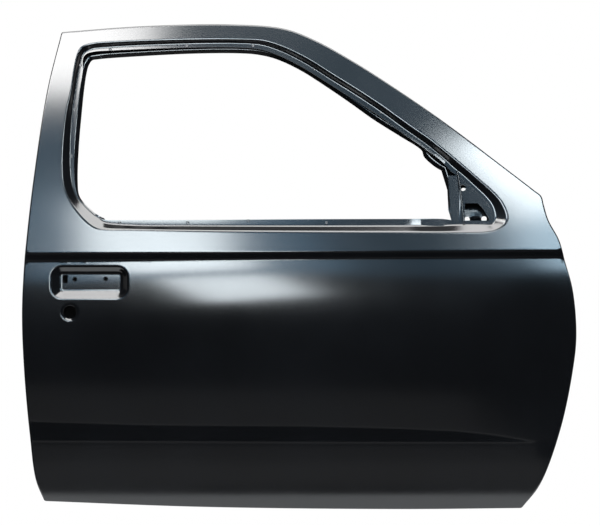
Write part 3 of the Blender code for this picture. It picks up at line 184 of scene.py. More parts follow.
# Features on the skin and the inner pressing: shares of length and height
RECESS_PLACE_SHARE = (0.1213, 0.4670)
RECESS_FLOOR_SHARE = (0.1246, 0.4692)
ROD_SLOT_SHARE = (0.0771, 0.4770)
HANDLE_HOLE_SHARES = ((0.0951, 0.4752), (0.1507, 0.4760))
LOCK_PLACE_SHARE = (0.0863, 0.4059)
MIRROR_HOLE_SHARE = (0.7957, 0.6645)
MIRROR_PLATE_SHARES = ((0.7888, 0.5880), (0.8440, 0.5880), (0.8560, 0.5960), (0.8580, 0.6120),
                       (0.8450, 0.6390), (0.8080, 0.6790), (0.7888, 0.6985))
MIRROR_WINDOW_SHARES = ((0.7990, 0.5968), (0.8425, 0.5968), (0.8425, 0.6008), (0.8312, 0.6236),
                        (0.8227, 0.6326), (0.7990, 0.6326))
INNER_MIRROR_HOLE_SHARES = ((0.7965, 0.6560), (0.8030, 0.5965), (0.8336, 0.5975))
SERVICE_SHARES = (0.225, 0.200, 0.560, 0.435)
FRONT_SERVICE_SHARES = (0.615, 0.330, 0.745, 0.475)
REAR_ACCESS_SHARES = (0.105, 0.345, 0.175, 0.435)
SPEAKER_SHARE = (0.800, 0.200)
CLIP_HOLE_SHARES = ((0.10, 0.10), (0.30, 0.08), (0.50, 0.08), (0.68, 0.08), (0.875, 0.32),
                    (0.90, 0.45), (0.075, 0.22), (0.075, 0.46), (0.30, 0.495), (0.60, 0.495),
                    (0.70, 0.495), (0.65, 0.27))
RAMP_SHARES = (0.530, 0.600)

# Fine detail of the pressings that the part leaves plain: bends, turned lips and rolled edges
HEM_STEPS = 6
CORNER_ROUND = 0.004
STEP_BEND = 0.0035
FOOT_BEND = 0.0030
RECESS_BEND = 0.0032
RECESS_FOOT_BEND = 0.0050
RECESS_TRIM = 0.0020
LOCK_BEND = 0.0020
PAN_FOOT_BEND = 0.0040
PAN_TOP_BEND = 0.0080
CHANNEL_BEND = 0.0030
LIP_BEND = 0.0025
LIP_TURN = 0.0050
LIP_WIDTH = 0.0090
LIP_FADE = 0.030
BEND_STEPS = 6
LAST_LEG = 0.85
INNER_LEG = 0.48
FOLD_MARGIN = 0.0020
SOFT_SHIFTS = (-0.0030, -0.0015, 0.0, 0.0015, 0.0030)
HOLE_ROLL = 0.0030
HOLE_ROLL_DEPTH = 0.0022
CLIP_ROLL = 0.0015
CLIP_ROLL_DEPTH = 0.0008
BEAD_WIDTH = 0.016
BEAD_RISE = 0.0028

# Mesh fineness and directions
STATION = 0.008
GRID_STEP = 0.0088
INNER_GRID_STEP = 0.0085
CHORD_SAG = 0.00005
LINE_SHIFTS = (-0.0050, -0.0034, -0.0020, -0.0007, 0.0007, 0.0020, 0.0034, 0.0050)
EDGE_MARGIN = 0.0045
ROW_MARGIN = 0.0022
ROUND_STEPS = 48
HOLE_STEPS = 24
CORNER_STEPS = 8
RECESS_SIDE_STEPS = 12
HOLE_SIDE_STEPS = 10
SLOPE_STEP = 0.0015
MERGE = 0.00002
TOUCH = MERGE / 10
CUT_REACH = 0.008
SMOOTH_ANGLE = math.radians(38)
QUARTER_TURN = math.radians(90)
OUTBOARD = Vector((0, -1, 0))
INBOARD = Vector((0, 1, 0))

# Spot welds seen through the window: shares of length and height, and the profile of one weld from
# its edge to its middle, as shares of its radius and of its rise
WELD_RADIUS = 0.0034
LIP_WELD_RADIUS = 0.0024
WELD_RISE = 0.00035
WELD_GAUGE = WELD_RISE / 4
WELD_PROFILE = ((1, 0), (0.8, 1), (0.62, 0.9), (0.45, 0.25), (0.15, 0.1))
FLANGE_WELD_SHARES = (
    (0.1579, 0.9512), (0.2966, 0.9590), (0.4166, 0.9590), (0.5282, 0.9104), (0.6477, 0.8211),
    (0.7558, 0.7235), (0.1043, 0.9182), (0.0935, 0.8253), (0.0884, 0.7292), (0.8644, 0.6048),
    (0.1760, 0.5918), (0.2986, 0.5924), (0.4079, 0.5961), (0.5491, 0.5918),
)
LIP_WELD_SHARES = (
    (0.1422, 0.9314), (0.3679, 0.9431), (0.4718, 0.9275), (0.5857, 0.8473),
)

# Mirror corner: where its flange loses the skin's bow and turns, and the rib by the front glass run
CORNER_ZONE_SHARES = ((0.700, 0.590), (0.765, 0.590), (0.840, 0.780))
SOFT_ZONE = 0.08
CORNER_MIDDLE_SHARE = 0.812
CORNER_TURN = 0.012
RIB_SHARES = ((0.7852, 0.6995), (0.7870, 0.6900), (0.7899, 0.6717), (0.7935, 0.6350), (0.7975, 0.5890))
RIB_RADIUS = 0.0022

# Stiffening beads of the inner face: shares of length and height of both ends
BEADS = (
    ((0.20, 0.475), (0.74, 0.475)), ((0.20, 0.165), (0.60, 0.165)), ((0.20, 0.19), (0.20, 0.45)),
    ((0.59, 0.20), (0.59, 0.44)),
)

# Finishes: colour, range of roughness, specular level, and scale and strength of the grain
PRIMER = ((0.0045, 0.0050, 0.0062), (0.11, 0.14), 0.9, 700.0, 0.0)
MASTIC = ((0.03, 0.03, 0.03), (0.6, 0.8), 0.5, 300.0, 0.5)
PAINT_IOR = 1.55
DRIFT_SCALE = 5.0
DRIFT_DETAIL = 3.0
DRIFT_BAND = (0.3, 0.7)
DRIFT_TONES = (0.8, 1.25)
GRAIN_DETAIL = 2.0
GRAIN_DEPTH = 0.0002

# Colour sockets of a Mix node: the numbers of both inputs and of the result
MIX_COLOUR_SOCKETS = (6, 7)
MIX_COLOUR_RESULT = 2

# Studio: camera, ground and lamps, with LAMP_POWER in watts per square metre for a radiance of one
SENSOR = 36.0
CAMERA_DISTANCE = 40.0
VIEW_WIDTH = 1.2597
VIEW_CENTRE = (-0.5151, 0.3263)
CLIP_END = 500.0
FLOOR_DROP = 0.05
FLOOR_BOX = ((-1.6, -0.3), (0.6, 1.0))
FLOOR_COLOUR = (0.9, 0.9, 0.9, 1)
FLOOR_ROUGHNESS = 0.9
FLOOR_GLOW = 0.76
FLOOR_SHEEN = 0.06
SKY_FRONT = 0.02
SKY_BACK = 0.8
SKY_BAND = (-0.2, 0.6)
LAMP_DISTANCE = 3.0
LAMP_POWER = 4
KEY_TINT = (0.86, 0.95, 1.0)
SIDE_TINT = (0.58, 0.82, 1.0)
FILL_TINT = (0.32, 0.66, 1.0)
ROOF_TINT = (0.48, 0.76, 1.0)
WHITE = (1.0, 1.0, 1.0)

# Lamp above the door: low and high corner in X and Y, height and radiance
TOP_LAMP = ((-0.6, -2.2), (1.8, -0.3), 3.4, 5.0)

# Lamps across from the door: name, X, Z, width, height, lean in degrees, radiance and tint
SOFTBOXES = (
    ("softbox_main", 0.17, 1.92, 0.46, 1.04, 7, 10.0, KEY_TINT),
    ("softbox_halo", 0.19, 1.92, 1.00, 1.24, 7, 1.1, FILL_TINT),
    ("softbox_low", 0.37, 1.20, 0.36, 0.66, 20, 7.8, KEY_TINT),
    ("softbox_corner", -0.41, 3.58, 1.05, 0.80, 0, 10.5, WHITE),
    ("softbox_right", 1.35, 2.64, 0.38, 0.58, 25, 15.0, KEY_TINT),
    ("softbox_side", 1.62, 1.90, 0.60, 1.00, 8, 6.0, SIDE_TINT),
    ("softbox_pillar", -0.35, 2.65, 0.50, 0.70, 0, 0.7, FILL_TINT),
    ("softbox_fill", 0.65, 2.15, 2.50, 1.75, 0, 0.28, FILL_TINT),
    ("softbox_roof", 0.80, 3.60, 2.80, 1.20, 0, 0.45, ROOF_TINT),
    ("softbox_ground", 0.35, -0.28, 1.60, 0.35, 0, 0.07, WHITE),
    ("softbox_kerb", 0.45, -0.62, 1.90, 0.40, 0, 0.11, WHITE),
)


def place(share):
    """Point of the side view at a share of the length and a share of the height."""
    return np.array((share[0] * DOOR_LENGTH, share[1] * DOOR_HEIGHT))


def line_height(shares, x):
    """Height of a pressed line at each length."""
    places, heights = np.array(shares).T
    return np.interp(np.asarray(x) / DOOR_LENGTH, places, heights) * DOOR_HEIGHT


def pressed_y(x, z):
    """Depth of the skin below its outermost line, with the crease and the lower band left sharp."""
    top, foot = line_height(CREASE_TOP_SHARES, x), line_height(CREASE_FOOT_SHARES, x)
    low_top, low_foot = line_height(LOWER_TOP_SHARES, x), line_height(LOWER_FOOT_SHARES, x)
    belt, outermost = BELT_SHARE * DOOR_HEIGHT, OUTERMOST_SHARE * DOOR_HEIGHT
    half = (x / DOOR_LENGTH - BOW_CENTRE_SHARE) / (1 - BOW_CENTRE_SHARE)
    rise = np.maximum(z - belt, 0)
    curl = (math.tan(TOP_LEAN) - math.tan(BELT_LEAN)) / 2
    upper = CREASE_LIP_INSET + (np.minimum(z, belt) - top) * math.tan(BELT_LEAN)
    upper = upper + rise * (math.tan(BELT_LEAN) + curl * rise / (DOOR_HEIGHT - belt))
    crease = CREASE_FOOT_INSET + (CREASE_LIP_INSET - CREASE_FOOT_INSET) * (z - foot) / (top - foot)
    middle = CREASE_FOOT_INSET * ((z - outermost) / (foot - outermost)) ** 2
    lower = LOWER_LINE_INSET * ((outermost - z) / (outermost - low_top)) ** 2
    band = LOWER_LINE_INSET + math.tan(LOWER_BAND_LEAN) * (low_top - np.maximum(z, low_foot))
    band = band + SILL_TUCK * (np.maximum(low_foot - z, 0) / low_foot) ** TUCK_POWER
    zones = [z > top, z > foot, z > outermost, z > low_top]
    return np.select(zones, [upper, crease, middle, lower], band) + PLAN_BOW * half * half


def skin_y(x, z):
    """Depth of the skin with its pressed lines rounded."""
    return sum(pressed_y(x, z + shift) for shift in SOFT_SHIFTS) / len(SOFT_SHIFTS)


def lift(flat, depth=0.0):
    """Places points of the side view on the skin's outer face, then moves them inboard by a depth."""
    x, z = np.asarray(flat, float).T
    slope_x = (skin_y(x + SLOPE_STEP, z) - skin_y(x - SLOPE_STEP, z)) / (2 * SLOPE_STEP)
    slope_z = (skin_y(x, z + SLOPE_STEP) - skin_y(x, z - SLOPE_STEP)) / (2 * SLOPE_STEP)
    inboard = np.stack((-slope_x, np.ones_like(x), -slope_z), 1)
    inboard /= np.linalg.norm(inboard, axis=1)[:, None]
    return np.stack((x, skin_y(x, z), z), 1) + inboard * depth


def flange_lift(flat, depth):
    """As lift, but the mirror corner's flange is flat from rear to front, without the skin's bow."""
    x, z = np.asarray(flat, float).T
    places, middle = lift(flat, depth), CORNER_MIDDLE_SHARE * DOOR_LENGTH
    start, end, level = (place(share) for share in CORNER_ZONE_SHARES)
    share = np.clip((x - start[0]) / (end[0] - start[0]), 0, 1)
    share = share * np.clip((level[1] - z) / SOFT_ZONE, 0, 1)
    bowed = skin_y(x, z) - skin_y(np.full_like(x, middle), z)
    places[:, 1] -= (bowed + (x - middle) * CORNER_TURN) * share
    return places


def bead_rise(x, z):
    """Height of the stiffening beads on the inner face."""
    rise = np.zeros_like(x)
    for ends in BEADS:
        a, b = (place(share) for share in ends)
        near = distance_to(np.stack((x, z), 1), np.array((a, b)), closed=False)
        swell = np.clip(1 - near / BEAD_WIDTH, 0, 1)
        rise = np.maximum(rise, BEAD_RISE * swell * swell * (3 - 2 * swell))
    return rise


def inner_y(x, z):
    """Depth of the inner pressing's cavity side: a box below the belt, a thin frame above it."""
    low, high = (share * DOOR_HEIGHT for share in RAMP_SHARES)
    t = np.clip((z - low) / (high - low), 0, 1)
    return BOX_DEPTH * (1 - t) + (skin_y(x, np.maximum(z, high)) + FRAME_DEPTH) * t


def lift_inner(flat, depth=0.0):
    """Places points of the side view on the inner pressing, then moves them inboard by a depth."""
    x, z = np.asarray(flat, float).T
    return np.stack((x, inner_y(x, z) + bead_rise(x, z) + depth, z), 1)


def spline(a, b, c, d, t):
    """Point at share t of the way from row b to row c on a centripetal curve through four rows."""
    knots = [0.0]
    for first, second in ((a, b), (b, c), (c, d)):
        knots.append(knots[-1] + math.sqrt(math.hypot(*(second - first)[:2])))
    at = knots[1] + (knots[2] - knots[1]) * t

    def mix(p, q, lo, hi):
        return p + (q - p) * ((at - lo) / (hi - lo))

    k0, k1, k2, k3 = knots
    ab, bc, cd = mix(a, b, k0, k1), mix(b, c, k1, k2), mix(c, d, k2, k3)
    return mix(mix(ab, bc, k0, k2), mix(bc, cd, k1, k3), k1, k2)


def trace(rows, sharp=()):
    """Closed row of places on a smooth curve through the given rows, one for each station."""
    rows = [np.array(row, float) for row in rows]
    scale = np.array((DOOR_LENGTH, DOOR_HEIGHT))
    count, traced = len(rows), []
    for i in range(count):
        b, c = rows[i], rows[(i + 1) % count]
        a = 2 * b - c if i in sharp else rows[i - 1]
        d = 2 * c - b if (i + 1) % count in sharp else rows[(i + 2) % count]
        sag = math.hypot(*((spline(a, b, c, d, 1 / 2) - (b + c) / 2)[:2] * scale))
        length = math.hypot(*((c - b)[:2] * scale))
        pieces = max(1, math.ceil(length / STATION), math.ceil(math.sqrt(sag / CHORD_SAG)))
        traced += [spline(a, b, c, d, k / pieces) for k in range(pieces)]
    return np.array(traced)


def silhouette():
    """Fine outline of the door with its three corners just off sharp, and those corners."""
    sharp = [i for i, row in enumerate(SILHOUETTE_SHARES) if row[2]]
    loop = trace(SILHOUETTE_SHARES, sharp)[:, :2] * (DOOR_LENGTH, DOOR_HEIGHT)
    corners = [place(SILHOUETTE_SHARES[i]) for i in sharp]
    for corner in corners:
        i = int(np.argmin(np.linalg.norm(loop - corner, axis=1)))
        before, after = loop[i - 1], loop[(i + 1) % len(loop)]
        start = corner + (before - corner) * CORNER_ROUND / np.linalg.norm(before - corner)
        end = corner + (after - corner) * CORNER_ROUND / np.linalg.norm(after - corner)
        curve = [start * (1 - t) ** 2 + corner * 2 * t * (1 - t) + end * t * t
                 for t in np.linspace(0, 1, CORNER_STEPS)]
        loop = np.concatenate((loop[:i], curve, loop[i + 1:]))
    return loop, np.array(corners)


def distance_to(flat, loop, closed=True):
    """Distance from each point to the nearest side of a loop."""
    best = np.full(len(flat), DOOR_LENGTH)
    ends = np.roll(loop, -1, 0) if closed else loop[1:]
    for a, b in zip(loop, ends):
        side = b - a
        along = np.clip((flat - a) @ side / max(side @ side, MERGE ** 2), 0, 1)
        best = np.minimum(best, np.linalg.norm(flat - a - along[:, None] * side, axis=1))
    return best


def inside(flat, loop):
    """Which points lie within a loop."""
    hit = np.zeros(len(flat), bool)
    x, z = flat.T
    for a, b in zip(loop, np.roll(loop, -1, 0)):
        if a[1] != b[1]:
            over = (a[1] > z) != (b[1] > z)
            hit ^= over & (x < a[0] + (b[0] - a[0]) * (z - a[1]) / (b[1] - a[1]))
    return hit


def inset(loop, distance):
    """Moves a counter-clockwise loop inwards, and cuts off the folds that this makes in tight bends."""
    side = loop - np.roll(loop, 1, 0)
    side /= np.linalg.norm(side, axis=1)[:, None]
    normal = np.stack((-side[:, 1], side[:, 0]), 1)
    middle = normal + np.roll(normal, -1, 0)
    moved = loop + middle * (2 * distance / (middle ** 2).sum(1))[:, None]
    good = distance_to(moved, loop) > abs(distance) - MERGE
    number, count = np.arange(len(loop)), len(loop)
    return np.stack([np.interp(number, number[good], moved[good, k], period=count)
                     for k in (0, 1)], 1)


def window_loops():
    """The traced window: face edge, step foot, flange edge and lip edge, side by side."""
    face_x, face_z, lip_x, lip_z, *ways = trace(WINDOW_SHARES).T
    face, lip = (np.stack(pair, 1) * (DOOR_LENGTH, DOOR_HEIGHT)
                 for pair in ((face_x, face_z), (lip_x, lip_z)))
    return [face, *(face + (lip - face) * way[:, None] for way in ways), lip]


def window_number(row):
    """Number of the traced place nearest to a row of the window's table."""
    face = window_loops()[0]
    return int(np.argmin(np.linalg.norm(face - place(WINDOW_SHARES[row]), axis=1)))


def rounded_box(centre, width, height, corner, side_steps=1):
    """Counter-clockwise rectangle with round corners."""
    loop = []
    for turn in range(4):
        sign = np.array(((1, -1), (1, 1), (-1, 1), (-1, -1))[turn])
        hub = centre + sign * (width / 2 - corner, height / 2 - corner)
        for step in range(CORNER_STEPS + 1):
            angle = QUARTER_TURN * (turn - 1 + step / CORNER_STEPS)
            loop.append(hub + np.array((math.cos(angle), math.sin(angle))) * corner)
    loop = np.array(loop)
    nexts = np.roll(loop, -1, 0)
    last = (np.arange(len(loop)) + 1) % (CORNER_STEPS + 1) == 0
    rows = []
    for a, b, ends in zip(loop, nexts, last):
        rows += [a + (b - a) * k / side_steps for k in range(side_steps if ends else 1)]
    return np.array(rows)


def circle(centre, radius, steps=ROUND_STEPS):
    angles = math.tau * (np.arange(steps) + 1 / 2) / steps
    return centre + np.stack((np.cos(angles), np.sin(angles)), 1) * radius


def box_between(shares, corner, side_steps):
    """Rectangle with round corners between its lowest and highest shares of length and height."""
    low, high = place(shares[:2]), place(shares[2:])
    return rounded_box((low + high) / 2, *(high - low), corner, side_steps)


def bent(rows, bends):
    """Rows of places across a pressing, with every inner row turned into a round bend."""
    done = [rows[0]]
    for i, bend in enumerate(bends, 1):
        back, ahead = rows[i - 1] - rows[i], rows[i + 1] - rows[i]
        lengths = [np.linalg.norm(leg, axis=1)[:, None] + MERGE for leg in (back, ahead)]
        shares = (LAST_LEG if i == 1 else INNER_LEG, LAST_LEG if i == len(bends) else INNER_LEG)
        reach = np.minimum(bend, np.minimum(shares[0] * lengths[0], shares[1] * lengths[1]))
        start, end = rows[i] + back / lengths[0] * reach, rows[i] + ahead / lengths[1] * reach
        for t in np.linspace(0, 1, BEND_STEPS):
            done.append(start * (1 - t) ** 2 + rows[i] * 2 * t * (1 - t) + end * t * t)
    return [*done, rows[-1]]


class Sheet:
    """Open surface in door coordinates, built from rows of places and the faces between them."""

    def __init__(self):
        self.places, self.faces = [], []

    def row(self, places):
        first = len(self.places)
        self.places.extend(np.asarray(places, float))
        return list(range(first, len(self.places)))

    def strip(self, first, second, closed=True, skip=()):
        count = len(first)
        for i in range(count if closed else count - 1):
            j = (i + 1) % count
            if i not in skip:
                self.faces.append((first[i], first[j], second[j], second[i]))

    def strips(self, rows, closed=True):
        """Joins neighbouring rows of places, and returns the numbers of the first and last rows."""
        numbers = [self.row(places) for places in rows]
        for first, second in zip(numbers, numbers[1:]):
            self.strip(first, second, closed)
        return numbers[0], numbers[-1]

    def fill(self, outer, holes, extra):
        """Faces the area between a row and its holes in the side view, through the extra places."""
        order = list(dict.fromkeys(i for row in (outer, *holes, extra) for i in row))
        number = {vert: i for i, vert in enumerate(order)}
        edges = []
        for loop in (outer, *holes):
            edges += [(number[a], number[b]) for a, b in zip(loop, loop[1:] + loop[:1])]
        flat = np.array([self.places[i] for i in order])[:, ::2]
        points = [Vector(p) for p in flat]
        spots, _, faces, sources, _, _ = delaunay_2d_cdt(points, edges, [], 1, TOUCH)
        spots = np.array(spots)
        centres = np.array([spots[list(face)].mean(0) for face in faces])
        keep = inside(centres, flat[[number[i] for i in outer]])
        for loop in holes:
            keep &= ~inside(centres, flat[[number[i] for i in loop]])
        for face, kept in zip(faces, keep):
            if kept and all(sources[i] for i in face):
                self.faces.append(tuple(order[sources[i][0]] for i in face))


def grid(step, low, high, outer, holes, margin):
    """Places on a square grid, clear of the outline and of every hole."""
    columns = np.arange(low[0] + step / 2, high[0], step)
    rows = np.arange(low[1] + step / 2, high[1], step)
    return clear_of(np.array([(x, z) for z in rows for x in columns]), outer, holes, margin)


def clear_of(flat, outer, holes, margin):
    """The points that keep a margin inside the outline and outside every hole."""
    good = inside(flat, outer) & (distance_to(flat, outer) > margin)
    for hole in holes:
        good &= ~inside(flat, hole) & (distance_to(flat, hole) > margin)
    return flat[good]


def finished(name, sheet, gauge, facing, holes=None):
    """Thickens a sheet away from the side it faces, cuts its holes and makes it one smooth piece."""
    mesh = bpy.data.meshes.new(name)
    mesh.from_pydata([tuple(p) for p in np.array(sheet.places) - HINGE_SEAT], [], sheet.faces)
    bm = bmesh.new()
    bm.from_mesh(mesh)
    bmesh.ops.remove_doubles(bm, verts=bm.verts, dist=MERGE)
    loose = [v for v in bm.verts if not v.link_faces]
    bmesh.ops.delete(bm, geom=loose, context="VERTS")
    bmesh.ops.recalc_face_normals(bm, faces=bm.faces)
    if sum(face.calc_area() * face.normal.dot(facing) for face in bm.faces) < 0:
        bmesh.ops.reverse_faces(bm, faces=bm.faces)
    bm.to_mesh(mesh)
    bm.free()
    thing = bpy.data.objects.new(name, mesh)
    bpy.context.collection.objects.link(thing)
    thicken = thing.modifiers.new("gauge", "SOLIDIFY")
    thicken.thickness = gauge
    thicken.offset = -1
    thicken.use_even_offset = True
    if holes:
        guide = cutter(name + "_holes", holes)
        boolean = thing.modifiers.new("holes", "BOOLEAN")
        boolean.operation = "DIFFERENCE"
        boolean.object = guide
    bpy.context.view_layer.update()
    shaped = bpy.data.meshes.new_from_object(thing.evaluated_get(bpy.context.evaluated_depsgraph_get()))
    thing.modifiers.clear()
    thing.data = shaped
    if holes:
        bpy.data.objects.remove(guide, do_unlink=True)
    return smooth(thing)


def smooth(thing):
    """Shades a piece smooth, apart from its sharp folds."""
    thing.data.shade_smooth()
    thing.data.set_sharp_from_angle(angle=SMOOTH_ANGLE)
    return thing


def cutter(name, shapes):
    """One mesh made of rods and blocks, each a (low corner, high corner) or (centre, radius, length)."""
    bm = bmesh.new()
    for shape in shapes:
        if len(shape) == 2:
            low, high = (np.array(corner) - HINGE_SEAT for corner in shape)
            for vert in bmesh.ops.create_cube(bm, size=1)["verts"]:
                vert.co = Vector(low + (high - low) * (np.array(vert.co) + 1 / 2))
        else:
            centre, radius, length = shape
            made = bmesh.ops.create_cone(bm, cap_ends=True, segments=HOLE_STEPS, radius1=radius,
                                         radius2=radius, depth=length)["verts"]
            for vert in made:
                along = np.array((vert.co.z, vert.co.y, -vert.co.x))
                vert.co = Vector(np.array(centre) - HINGE_SEAT + along)
    mesh = bpy.data.meshes.new(name)
    bm.to_mesh(mesh)
    bm.free()
    guide = bpy.data.objects.new(name, mesh)
    bpy.context.collection.objects.link(guide)
    return guide


def door_skin():
    """Skin with its hem, window step, handle recess and lock cup, all one pressing."""
    sheet = Sheet()
    outline, corners = silhouette()
    rows = []
    for angle in np.linspace(QUARTER_TURN, -QUARTER_TURN, HEM_STEPS + 1):
        row = inset(outline, HEM_RADIUS * (1 - math.cos(angle))) if abs(angle) > MERGE else outline
        rows.append(lift(row, HEM_RADIUS * (1 + math.sin(angle))))
    inner = inset(outline, HEM_RADIUS + FOLD_MARGIN)
    _, edge = sheet.strips([*rows, lift(inner)])
    back = sheet.row(rows[0])
    returned = inset(outline, HEM_RADIUS + HEM_RETURN)
    skip = np.flatnonzero(np.min([np.linalg.norm(outline - c, axis=1) for c in corners], 0) < HEM_NOTCH)
    sheet.strip(back, sheet.row(lift(returned, HEM_DEPTH)), skip=set(skip.tolist()))

    face, foot, flange, lip = window_loops()
    outwards = (face - lip) / np.linalg.norm(face - lip, axis=1)[:, None]
    margin = face + outwards * (STEP_BEND + FOLD_MARGIN)
    window = bent([lift(margin), lift(face), flange_lift(foot, WINDOW_STEP),
                   flange_lift(flange, WINDOW_STEP)],
                  (STEP_BEND, FOOT_BEND))
    window_edge, _ = sheet.strips(window)

    rim, rim_edge = recess(sheet)
    cup, cup_edge = lock_cup(sheet)
    extra = sheet.row(lift(skin_places(inner, [margin, rim, cup])))
    sheet.fill(edge, [window_edge, rim_edge, cup_edge], extra)
    return finished("door_skin", sheet, GAUGE, OUTBOARD)


def skin_places(outer, holes):
    """Grid over the open skin, with close rows of places along both edges of every pressed line."""
    places = grid(GRID_STEP, (0, 0), (DOOR_LENGTH, DOOR_HEIGHT), outer, holes, EDGE_MARGIN)
    columns, reach = np.arange(0, DOOR_LENGTH, STATION), LINE_SHIFTS[-1]
    away = np.min([np.abs(places[:, 1] - line_height(line, places[:, 0])) for line in SKIN_LINES], 0)
    found = [places[away > reach + ROW_MARGIN]]
    for number, line in enumerate(SKIN_LINES, 1):
        for shift in LINE_SHIFTS:
            row = np.stack((columns, line_height(line, columns) + shift), 1)
            for other in SKIN_LINES[number:]:
                row = row[np.abs(row[:, 1] - line_height(other, row[:, 0])) > reach + 2 * MERGE]
            found.append(clear_of(row, outer, holes, ROW_MARGIN))
    return np.concatenate(found)


def recess(sheet):
    """Handle recess with round bevels, the rod slot and the two fixing holes in its floor."""
    steps = RECESS_SIDE_STEPS
    centre, middle = place(RECESS_PLACE_SHARE), place(RECESS_FLOOR_SHARE)
    length, height, corner = (size - twice * RECESS_TRIM for size, twice in
                              ((RECESS_LENGTH, 2), (RECESS_HEIGHT, 2), (RECESS_CORNER, 1)))
    rim = rounded_box(centre, length, height, corner, steps)
    wide = RECESS_BEND + FOLD_MARGIN
    outer = rounded_box(centre, length + 2 * wide, height + 2 * wide, corner + wide, steps)
    floor = rounded_box(middle, RECESS_FLOOR_LENGTH, RECESS_FLOOR_HEIGHT, RECESS_FLOOR_CORNER, steps)
    flat = rounded_box(middle, RECESS_FLOOR_LENGTH - 2 * RECESS_FOOT_BEND,
                       RECESS_FLOOR_HEIGHT - 2 * RECESS_FOOT_BEND, RECESS_FLOOR_CORNER / 2, steps)
    edge, inner = sheet.strips(bent([lift(outer), lift(rim), lift(floor, RECESS_DEPTH),
                                     lift(flat, RECESS_DEPTH)], (RECESS_BEND, RECESS_FOOT_BEND)))
    loops = [rounded_box(place(ROD_SLOT_SHARE), ROD_SLOT_WIDTH, ROD_SLOT_HEIGHT, ROD_SLOT_CORNER)]
    loops += [circle(place(share), HANDLE_HOLE_RADIUS, HOLE_STEPS) for share in HANDLE_HOLE_SHARES]
    holes = [sheet.row(lift(loop, RECESS_DEPTH)) for loop in loops]
    places = grid(GRID_STEP / 2, flat.min(0), flat.max(0), flat, loops, ROW_MARGIN)
    sheet.fill(inner, holes, sheet.row(lift(places, RECESS_DEPTH)))
    return outer, edge


def lock_cup(sheet):
    """Shallow cup around the lock's bore."""
    lock = place(LOCK_PLACE_SHARE)
    outer = circle(lock, LOCK_CUP_RADIUS + LOCK_BEND + FOLD_MARGIN)
    rows = [lift(outer), lift(circle(lock, LOCK_CUP_RADIUS)),
            lift(circle(lock, LOCK_HOLE_RADIUS), LOCK_CUP_DEPTH),
            lift(circle(lock, LOCK_HOLE_RADIUS), LOCK_CUP_DEPTH + LOCK_BEND)]
    edge, _ = sheet.strips(bent(rows, (LOCK_BEND, LOCK_BEND / 2)))
    return outer, edge


def inner_pressing():
    """Inner pressing: rim inside the hem, step, pan wall and inner face with its openings."""
    sheet = Sheet()
    outline, _ = silhouette()
    foot = inset(outline, PAN_WALL_SETBACK)
    foot = np.clip(foot, (LATCH_WALL, SILL_WALL_HEIGHT), (HINGE_WALL, DOOR_HEIGHT))
    for _ in range(BEND_STEPS):
        foot = (np.roll(foot, 1, 0) + 2 * foot + np.roll(foot, -1, 0)) / 4
    inner = inset(foot, PAN_TOP_BEND)
    top = np.stack((foot[:, 0], inner_y(*foot.T), foot[:, 1]), 1)
    step = inset(outline, RIM_WIDTH + RIM_STEP_WIDTH)
    rows = [lift(inset(outline, HEM_RADIUS + RIM_EDGE_GAP), RIM_DEPTH),
            lift(inset(outline, RIM_WIDTH), RIM_DEPTH), lift(step, RIM_STEP_DEPTH),
            lift(foot, RIM_STEP_DEPTH), top, lift_inner(inner)]
    _, edge = sheet.strips(bent(rows, (RIM_STEP_WIDTH / 2, RIM_STEP_WIDTH / 2, PAN_FOOT_BEND,
                                       PAN_TOP_BEND)))
    loops, rings = [], []
    lip = inner_window()
    outer = inset(lip, -LIP_WIDTH - LIP_BEND)
    rows = [lift_inner(outer), lift_inner(inset(lip, -LIP_WIDTH)), lift_inner(lip, lip_turn(lip))]
    loops.append(outer)
    rings.append(sheet.strips(bent(rows, (LIP_BEND,)))[0])
    for loop, roll, depth in inner_holes():
        outer = inset(loop, -roll)
        rows = [lift_inner(outer), lift_inner(loop), lift_inner(loop, -depth)]
        loops.append(outer)
        rings.append(sheet.strips(bent(rows, (roll,)))[0])
    places = grid(INNER_GRID_STEP, (0, 0), (DOOR_LENGTH, DOOR_HEIGHT), inner, loops, ROW_MARGIN)
    sheet.fill(edge, rings, sheet.row(lift_inner(places)))
    return finished("inner_pressing", sheet, GAUGE, OUTBOARD, wall_holes())


def lip_turn(flat):
    """How far inboard the window's lip is turned: nothing at the sill, all of it LIP_FADE above."""
    height = np.asarray(flat)[:, 1] - place(DIVISION_EDGE_SHARES[-1])[1]
    return LIP_TURN * np.clip(height / LIP_FADE, 0, 1)


def inner_window():
    """Window opening of the inner pressing: the lip edge, the division bar's edge and the sill."""
    lip = window_loops()[-1]
    run = lip[window_number(RUN_FIRST_ROW):]
    front = np.array([place(share) for share in DIVISION_EDGE_SHARES])
    shares = np.linspace(0, 1, round(DOOR_LENGTH / STATION / 2))[:, None]
    sill = lip[0] * (1 - shares) + front[-1] * shares - (0, SILL_DROP)
    return np.concatenate((sill, front[-2::-1], run))


def inner_holes():
    """Holes in the inner pressing, each with how wide and how deep its rolled edge is."""
    boxes = [box_between(shares, SERVICE_CORNER, HOLE_SIDE_STEPS)
             for shares in (SERVICE_SHARES, FRONT_SERVICE_SHARES, REAR_ACCESS_SHARES)]
    boxes.append(circle(place(SPEAKER_SHARE), SPEAKER_RADIUS))
    found = [(loop, HOLE_ROLL, HOLE_ROLL_DEPTH) for loop in boxes]
    for shares, radius in ((CLIP_HOLE_SHARES, CLIP_HOLE_RADIUS),
                           (INNER_MIRROR_HOLE_SHARES, MIRROR_HOLE_RADIUS)):
        found += [(circle(place(share), radius, HOLE_STEPS), CLIP_ROLL, CLIP_ROLL_DEPTH)
                  for share in shares]
    return found


